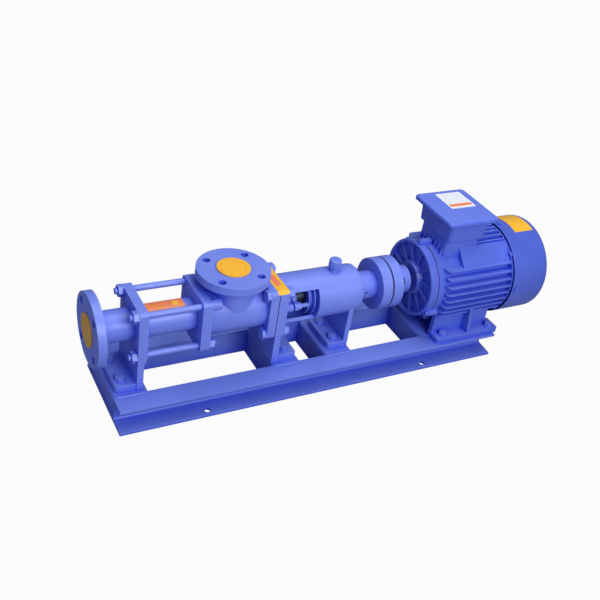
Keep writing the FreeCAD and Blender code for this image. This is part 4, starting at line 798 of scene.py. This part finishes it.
def motorFin(shape, look, offset, side, axis):
    # One fin, which rises in a quarter curve behind the front band
    base = axisUp if axis == "Y" else 0.0
    low = look["core"] - 2
    tip = []
    for index in range(7):
        turn = pi / 2 * index / 6
        reach = low + (look["fin"] - low) * sin(turn)
        tip.append((look["finStart"] + look["curl"] * (1 - cos(turn)), reach))
    tip.append((look["end"], look["fin"]))
    root = base + side * (sqrt(look["core"] ** 2 - offset ** 2) - look["wall"] + 1)
    outline = [(x, base + side * sqrt(reach ** 2 - offset ** 2)) for x, reach in tip]
    outline += [(look["end"], root), (look["finStart"], root)]
    middle = offset if axis == "Y" else axisUp + offset
    prism(shape, outline, middle - look["finHalf"], middle + look["finHalf"], axis)


def shieldLugs(shape, look, start, end):
    reach, size = look["lugReach"], look["lug"]
    for angle in look["lugAngles"]:
        spun(shape, angle, lambda: block(shape, (start, end), (look["core"] - 5, reach), acrossAxis(size)))
        bar(shape, size, atTurn(reach, radians(angle)), start + 0.1, end - 0.1)


def motorFoot(shape, look, side):
    near, far = look["footY"]
    top, bodyTop = look["footTop"], axisUp - look["core"] / 2
    middle = (sum(look["foot"]) / 2, side * (near + far) / 2)
    half = (look["foot"][1] - look["foot"][0]) / 2
    prism(shape, rounded(half, (far - near) / 2, look["footCorner"], middle), rail, top, "Z")
    wall = sorted(side * y for y in look["footWall"])
    block(shape, (look["foot"][0] + 1, look["wallEnd"]), wall, (rail + 2, bodyTop))
    outside, inside, rise = look["ribLean"]
    face = look["footWall"][1] - 1
    prism(shape, [
        (side * (far - outside), top - 1), (side * (far - outside), top + rise),
        (side * (far - inside), bodyTop + apart), (side * face, bodyTop + apart), (side * face, top - 1)],
        *look["rib"])


def buildMotorFrame(look):
    print("casting the motor frame")
    shape = bmesh.new()
    joint, end, core = look["joint"], look["end"], look["core"]
    inner, chamfer = core - look["wall"], look["chamfer"]
    lathe(shape, [
        (joint, inner), (joint, core - chamfer), (joint + chamfer, core), (end, core), (end, inner)])
    low, high = look["padSpan"]
    padLow, padTop = look["padRise"]
    for side in (-1, 1):
        for offset in finOffsets(look["sideFins"]):
            motorFin(shape, look, offset, side, "Z")
        for offset in finOffsets(look["topFins"]):
            motorFin(shape, look, offset, side, "Y")
        span = (low, high) if side > 0 else (-high, -low)
        spun(shape, side * 45.0, lambda: block(shape, look["pad"], span, (axisUp + padLow, axisUp + padTop)))
        motorFoot(shape, look, side)
    halfX, halfY, corner = look["tower"]
    prism(shape, rounded(halfX, halfY, corner, (terminalBox["x"], 0.0)), *look["towerRise"], "Z")
    shieldLugs(shape, look, joint, joint + look["lugLength"])
    shieldLugs(shape, look, end - look["lugLength"], end)
    newPiece("motor_frame_casting", shape, "motor_casting", ["motor_frame", "packing_plates"])


# End shields: ribbed front shield, its bolts, a dark ring in its joint as painted shade, and the rear
# shield's rim

frontShield = {
    "shoulder": 262.0, "web": 276.0, "shaftBore": 15.5, "boss": (38.0, 44.0), "rim": (84.0, 87.0, 92.0),
    "spigot": (87.8, 83.0), "bearing": (31.2, 37.2), "ribs": 12, "firstRib": 15.0, "rib": (36.0, 86.0),
    "ribHalf": 2.5, "lugStart": 273.0, "boltAcross": 12.8, "boltHead": 5.6, "rearBolts": 500.0,
    "jointShade": (0.9, 91.0, 93.8),
}


def buildFrontShield(look, motor):
    print("casting the front shield")
    joint, core, start, web = motor["joint"], motor["core"], look["shoulder"], look["web"]
    chamfer, shaft = motor["chamfer"], look["shaftBore"]
    bossFront, bossBack = look["boss"]
    rimInner, rimLip, rimFace = look["rim"]
    spigot, spigotInner = look["spigot"]
    bearing, bearingWall = look["bearing"]
    shape = bmesh.new()
    lathe(shape, [
        (start, shaft), (start, bossFront), (web, bossBack), (web, rimInner), (start + 2, rimLip),
        (start + 2, rimFace), (start + 5, core), (joint - chamfer, core), (joint, core - chamfer),
        (joint, spigot), (joint + 6, spigot), (joint + 6, spigotInner), (joint, spigotInner),
        (joint, bearingWall), (joint + 4, bearingWall), (joint + 4, bearing), (start + 4, bearing),
        (start + 4, shaft)])
    for index in range(look["ribs"]):
        spun(shape, look["firstRib"] + index * 360.0 / look["ribs"], lambda: block(
            shape, (start + 7, web + 1), look["rib"], acrossAxis(look["ribHalf"])))
    shieldLugs(shape, motor, look["lugStart"], joint)
    newPiece("front_shield_casting", shape, "motor_casting", ["motor_end_shield_front"])
    shape = bmesh.new()
    places = [atTurn(motor["lugReach"], radians(angle)) for angle in motor["lugAngles"]]
    hexHeads(shape, places, look["lugStart"] - look["boltHead"], look["lugStart"], look["boltAcross"])
    hexHeads(shape, places, look["rearBolts"], look["rearBolts"] + look["boltHead"], look["boltAcross"])
    newPiece("shield_hex_bolts", shape, "motor_fasteners", ["end_shield_bolts"])
    # A dark ring laid in the joint's groove: painted shade
    half, inner, outer = look["jointShade"]
    shape = bmesh.new()
    lathe(shape, [(joint - half, inner), (joint - half, outer), (joint + half, outer), (joint + half, inner)])
    newPiece("shield_joint_shade_ring", shape, "gasket")


rearRim = {"start": 489.6, "end": 498.0, "inner": 94.3, "radius": 110.5, "chamfer": 3.0}


def buildRearRim(look):
    # It closes the drum behind the fins and leaves the air its way out
    start, end, inner, radius = look["start"], look["end"], look["inner"], look["radius"]
    bevelled = radius - look["chamfer"]
    shape = bmesh.new()
    lathe(shape, [
        (start, inner), (start, radius), (end - look["chamfer"], radius), (end, bevelled), (end, inner)],
        steps=144)
    newPiece("rear_shield_rim", shape, "motor_casting")


# Fan cover: drawn sheet with a rounded end and bars between its air slots

fanCover = {
    "start": 492.5, "end": 603.0, "radius": 117.0, "wall": 2.0, "round": 16.0, "inner": 42.0, "outer": 84.0,
    "slots": 24, "slotHalf": 2.5,
}


def buildFanCover(look):
    print("drawing the fan cover")
    start, end, radius, wall, bend = (look[name] for name in ("start", "end", "radius", "wall", "round"))
    inner, outer, half = look["inner"], look["outer"], look["slotHalf"]

    def corner(bendRadius):
        turns = [pi / 2 * index / 8 for index in range(9)]
        return [
            (end - bend + bendRadius * sin(turn), radius - bend + bendRadius * cos(turn))
            for turn in turns]

    shape = bmesh.new()
    lathe(shape, [
        (start, radius), *corner(bend), (end, outer), (end - wall, outer), *reversed(corner(bend - wall)),
        (start, radius - wall)], steps=160)
    bar(shape, inner, (0.0, axisUp), end - wall, end, "X", 64)

    def beside(angle, reach, offset):
        turn = radians(angle)
        return (reach * cos(turn) - offset * sin(turn),
                axisUp + reach * sin(turn) + offset * cos(turn))

    for index in range(look["slots"]):
        low, high = (turn * 360.0 / look["slots"] for turn in (index, index + 1))
        prism(shape, [
            beside(low, inner - 1, half), beside(low, outer + 1, half), beside(high, outer + 1, -half),
            beside(high, inner - 1, -half)], end - wall + 0.1, end - 0.1)
    newPiece("fan_cowl", shape, "motor_sheet", ["fan_cover"])


# Terminal box: open box that leans out to its top, and a lid with a rounded edge

terminalBox = {
    "x": 354.5, "low": 321.0, "top": 368.0, "lowHalf": (52.0, 64.0), "topHalf": (53.0, 68.0), "corner": 12.0,
    "wall": 4.0, "lidHalf": (71.0, 77.0), "lidTop": 377.0, "round": 5.0,
}


def buildTerminalBox(look):
    print("casting the terminal box")

    def ringAt(half, inset, z):
        outline = rounded(half[0] - inset, half[1] - inset, look["corner"] - inset, (look["x"], 0.0))
        return [(x, y, z) for x, y in outline]

    low, top, wall, bend = look["low"], look["top"], look["wall"], look["round"]
    shape = bmesh.new()
    loft(shape, [
        ringAt(look["lowHalf"], 0.0, low), ringAt(look["topHalf"], 0.0, top),
        ringAt(look["topHalf"], wall, top), ringAt(look["lowHalf"], wall, low + wall)])
    newPiece("terminal_box_casting", shape, "motor_casting", ["terminal_box"])
    shape = bmesh.new()
    rings = [ringAt(look["lidHalf"], 0.0, top)]
    for index in range(7):
        turn = pi / 2 * index / 6
        inset, rise = bend * (1 - cos(turn)), bend * sin(turn)
        rings.append(ringAt(look["lidHalf"], inset, look["lidTop"] - bend + rise))
    loft(shape, rings)
    newPiece("terminal_box_cover", shape, "motor_casting", ["terminal_box_lid"])


buildDischargeBody(dischargeBody)
buildSuctionCasing(suctionCasing)
buildBearingFrame(bearingFrame)
buildFasteners(fasteners)
buildFootBolts(footBolts)
buildGreaseCup(greaseCup)
buildMotorFrame(motorShape)
buildFrontShield(frontShield, motorShape)
buildRearRim(rearRim)
buildFanCover(fanCover)
buildTerminalBox(terminalBox)


# Plain vinyl labels with nothing printed on them: sizes in metres from here on

labelVinyl = {
    "orange": {"name": "orangeLabelVinyl", "body": "#F58F4E", "faded": "#EE7E42", "rough": 0.36},
    "yellow": {"name": "yellowLabelVinyl", "body": "#FAC132", "faded": "#F2AE24", "rough": 0.36},
    "coral": {"name": "coralLabelVinyl", "body": "#F4885F", "faded": "#EC7650", "rough": 0.38},
    "white": {"name": "whiteLabelVinyl", "body": "#F1F2F6", "faded": "#DDE0EA", "rough": 0.34},
}


def vinylFinish(look):
    # Calendered self-adhesive film: smooth satin, a little uneven where it follows the paint beneath
    material, tree, place = emptyFinish(look["name"])
    patches = addNode(tree, "TexNoise", {"Scale": perMetre(14.0), "Detail": 4.0}, {"Vector": place})
    ripple = addNode(tree, "TexNoise", {"Scale": perMetre(3.0), "Detail": 1.0}, {"Vector": place})
    body = addNode(tree, "Mix", twoColours(look["body"], look["faded"]), {0: patches})
    sheen = addNode(tree, "MapRange",
                    {"To Min": look["rough"] - 0.06, "To Max": look["rough"] + 0.1}, {"Value": patches})
    uneven = addNode(tree, "Bump", {"Strength": 0.4, "Distance": 0.00006}, {"Height": ripple})
    return surfaced(material, {"IOR": 1.5}, {
        "Base Color": body.outputs[2], "Roughness": sheen, "Normal": uneven})


vinyls = {colourName: vinylFinish(look) for colourName, look in labelVinyl.items()}

axisHeight = axisUp / 1000
# How far the middle of a film lies over the paint, and its thickness: a patch lies on a label
films = {"label": (0.00012, 0.00014), "patch": (0.00026, 0.00012)}


def labelSheet(name, surface, size, corner, film, colour, steps=(24, 24), body="pump_frame"):
    # A sheet with round corners laid on surface(u, v) -> point, normal, counted from its middle
    length, width = size
    lift, thickness = films[film]
    shape = bmesh.new()
    rows = []
    for i in range(steps[0] + 1):
        row = []
        for j in range(steps[1] + 1):
            u = (i / steps[0] - 0.5) * length
            v = (j / steps[1] - 0.5) * width
            overU = abs(u) - (length / 2 - corner)
            overV = abs(v) - (width / 2 - corner)
            reach = hypot(overU, overV)
            if overU > 0 and overV > 0 and reach > corner:
                u = copysign(length / 2 - corner + overU * corner / reach, u)
                v = copysign(width / 2 - corner + overV * corner / reach, v)
            point, normal = surface(u, v)
            row.append(shape.verts.new(point + normal * lift))
        rows.append(row)
    for first, second in zip(rows, rows[1:]):
        for j in range(steps[1]):
            shape.faces.new((first[j], second[j], second[j + 1], first[j + 1]))
    sheet = meshObject(name, shape)
    sheet.data.materials.append(vinyls[colour])
    skin = sheet.modifiers.new("filmThickness", "SOLIDIFY")
    skin.thickness = thickness
    skin.offset = 0.0
    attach(sheet, body)


def onBarrel(x, angle, radius):
    # Round the pump axis: u runs along X, v runs round it from the top
    def place(u, v):
        turn = angle + v / radius
        normal = Vector((0.0, sin(turn), cos(turn)))
        return Vector((x + u, normal.y * radius, axisHeight + normal.z * radius)), normal
    return place


def onTop(x, y, z):
    return lambda u, v: (Vector((x + u, y + v, z)), Vector((0, 0, 1)))


def overPlateEdge(x, startY, middle):
    # Along a square plate's top from startY to the front, then round its corner: u runs along X
    side, rise = (half / 1000 for half in plates["half"])
    corner = plates["corner"] / 1000
    top = axisHeight + rise
    flat = startY + side - corner

    def place(u, v):
        way = middle + v
        if way < flat:
            return Vector((x + u, startY - way, top)), Vector((0, 0, 1))
        turn = (way - flat) / corner
        normal = Vector((0.0, -sin(turn), cos(turn)))
        return Vector((x + u, corner - side, top - corner)) + normal * corner, normal
    return place


def barrelLabel(name, x, angles, radius, corner, colour):
    start, end = (radians(angle) for angle in angles)
    labelSheet(name, onBarrel(sum(x) / 2, (start + end) / 2, radius), (x[1] - x[0], (end - start) * radius),
               corner, "label", colour)


statorLabel = {
    "x": (-0.402, -0.3135), "angle": (-34.0, 36.0), "divide": -0.3445, "gap": 0.0008, "corner": 0.003,
    "dotX": -0.3315, "dotAngle": -2.0, "dotSize": (0.0136, 0.01632), "dotCorner": 0.0068,
}
jointStartY = 0.040
jointSheets = {
    "joint_label": {
        "x": (-0.1225, -0.0955), "way": (0.0, 0.104), "corner": 0.002, "film": "label", "colour": "yellow",
        "steps": (6, 60),
    },
    "joint_label_patch": {
        "x": (-0.1165, -0.1035), "way": (0.031, 0.074), "corner": 0.001, "film": "patch", "colour": "coral",
        "steps": (6, 40),
    },
}
lidLabel = {
    "x": (0.333, 0.4035), "y": (-0.0095, 0.063), "corner": 0.003, "bandShare": 0.15, "bandStart": 0.009,
    "bandShorter": 0.008, "bandCorner": 0.001,
}
fanLabel = {"x": (0.527, 0.583), "angle": (-18.0, 26.0), "corner": 0.002}

print("laying the bare labels")
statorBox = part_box("stator_tube")
tubeRadius = (statorBox[1].y - statorBox[0].y) / 2
halfGap = statorLabel["gap"] / 2
for part, ends in (
    ("left", (statorLabel["x"][0], statorLabel["divide"] - halfGap)),
    ("right", (statorLabel["divide"] + halfGap, statorLabel["x"][1])),
):
    barrelLabel(
        "stator_label_" + part, ends, statorLabel["angle"], tubeRadius, statorLabel["corner"], "orange")
dotPlace = onBarrel(statorLabel["dotX"], radians(statorLabel["dotAngle"]), tubeRadius)
labelSheet("stator_label_dot", dotPlace, statorLabel["dotSize"], statorLabel["dotCorner"], "patch", "yellow")

for sheetName, look in jointSheets.items():
    left, right = look["x"]
    start, end = look["way"]
    path = overPlateEdge((left + right) / 2, jointStartY, (start + end) / 2)
    labelSheet(sheetName, path, (right - left, end - start), look["corner"], look["film"], look["colour"],
               look["steps"])

lidTop = terminalBox["lidTop"] / 1000
left, right = lidLabel["x"]
front, rear = lidLabel["y"]
lidX = (left + right) / 2
labelSheet(
    "lid_label", onTop(lidX, (front + rear) / 2, lidTop), (right - left, rear - front), lidLabel["corner"],
    "label", "white")
bandWidth = (rear - front) * lidLabel["bandShare"]
bandY = front + lidLabel["bandStart"] + bandWidth / 2
labelSheet(
    "lid_label_band", onTop(lidX, bandY, lidTop), (right - left - lidLabel["bandShorter"], bandWidth),
    lidLabel["bandCorner"], "patch", "orange")
coverRadius = fanCover["radius"] / 1000
barrelLabel("fan_cover_label", fanLabel["x"], fanLabel["angle"], coverRadius, fanLabel["corner"], "yellow")


# Weld beads along the seams between rails and cross members, painted over

welds = {
    "width": 0.0062, "height": 0.0021, "ripple": 0.0026, "bow": 0.0008, "sunk": 0.0002,
    "swell": (-0.12, 0.16), "seamY": 0.0727, "inset": 0.002, "frameFront": 0.070, "frameRear": 0.068,
    "seams": {"discharge": "cross_member_discharge", "motor": "cross_member_motor"},
}


def weldBead(name, start, end, y, z, look, seed):
    # A row of overlapping half-round ripples, each laid on the one before, with tapered ends
    draw = random.Random(seed)
    shape = bmesh.new()
    count = int((end - start) / look["ripple"] * 4)
    rows = []
    swell = 0.0
    for index in range(count + 1):
        x = start + (end - start) * index / count
        if index % 4 == 0:
            swell = draw.uniform(*look["swell"])
        taper = min(1.0, 6 * index / count + 0.25, 6 * (count - index) / count + 0.25)
        crest = (0.82 + 0.18 * (index % 4) / 3 + swell) * taper
        row = []
        for step in range(9):
            turn = pi * step / 8
            row.append(shape.verts.new((
                x - look["bow"] * sin(turn),
                y + cos(turn) * look["width"] / 2 * (0.9 + 0.25 * swell) * taper,
                z - look["sunk"] + sin(turn) * look["height"] * crest)))
        rows.append(row)
    for first, second in zip(rows, rows[1:]):
        for step in range(8):
            shape.faces.new((first[step], first[step + 1], second[step + 1], second[step]))
    for row in (rows[0], rows[-1]):
        shape.faces.new(row)
    smoothPiece(name, shape, "base_paint", "pump_frame")


print("laying the weld beads")
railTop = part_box("base_rail_front")[1].z
seams = []
for seamName, nodeName in welds["seams"].items():
    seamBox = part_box(nodeName)
    seams.append((seamName, seamBox[0].x, seamBox[1].x))
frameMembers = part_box("cross_members_frame")
seams.append(("frame_front", frameMembers[0].x, frameMembers[0].x + welds["frameFront"]))
seams.append(("frame_rear", frameMembers[1].x - welds["frameRear"], frameMembers[1].x))
for seed, (seamName, seamStart, seamEnd) in enumerate(seams):
    for sideName, side in (("front", -1), ("rear", 1)):
        weldBead(
            "weld_" + seamName + "_" + sideName, seamStart + welds["inset"], seamEnd - welds["inset"],
            side * welds["seamY"], railTop, welds, seed * 2 + (side > 0))


# Moulded ring and gate mark on each transport cap

capMarks = {
    "ring": 0.0265, "wire": 0.0007, "wireRise": 0.7, "around": 96, "section": 8, "gate": 0.0022,
    "gateRise": 0.35,
}


def capMoulding(name, centre, facing, look, body):
    shape = bmesh.new()
    leans = [2 * pi * step / look["section"] for step in range(look["section"])]
    wire = look["wire"]
    profile = [(sin(lean) * wire * look["wireRise"], look["ring"] + cos(lean) * wire) for lean in leans]
    lathe(shape, profile, "Z", (0.0, 0.0), look["around"])
    bmesh.ops.create_uvsphere(
        shape, u_segments=16, v_segments=10, radius=look["gate"],
        matrix=Matrix.Diagonal((1.0, 1.0, look["gateRise"], 1.0)))
    outward = Vector(facing).to_track_quat("Z", "Y").to_matrix().to_4x4()
    bmesh.ops.transform(shape, matrix=Matrix.Translation(Vector(centre)) @ outward, verts=shape.verts)
    smoothPiece(name, shape, "cap_plastic", body)


print("marking the transport caps")
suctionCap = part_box("suction_cap")
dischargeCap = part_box("discharge_cap")
capMoulding(
    "suction_cap_ring", ((suctionCap[0].x + suctionCap[1].x) / 2, 0.0, suctionCap[1].z), (0, 0, 1),
    capMarks, "suction_cap")
capMoulding(
    "discharge_cap_ring", (dischargeCap[0].x, 0.0, axisHeight), (-1, 0, 0), capMarks, "discharge_cap")
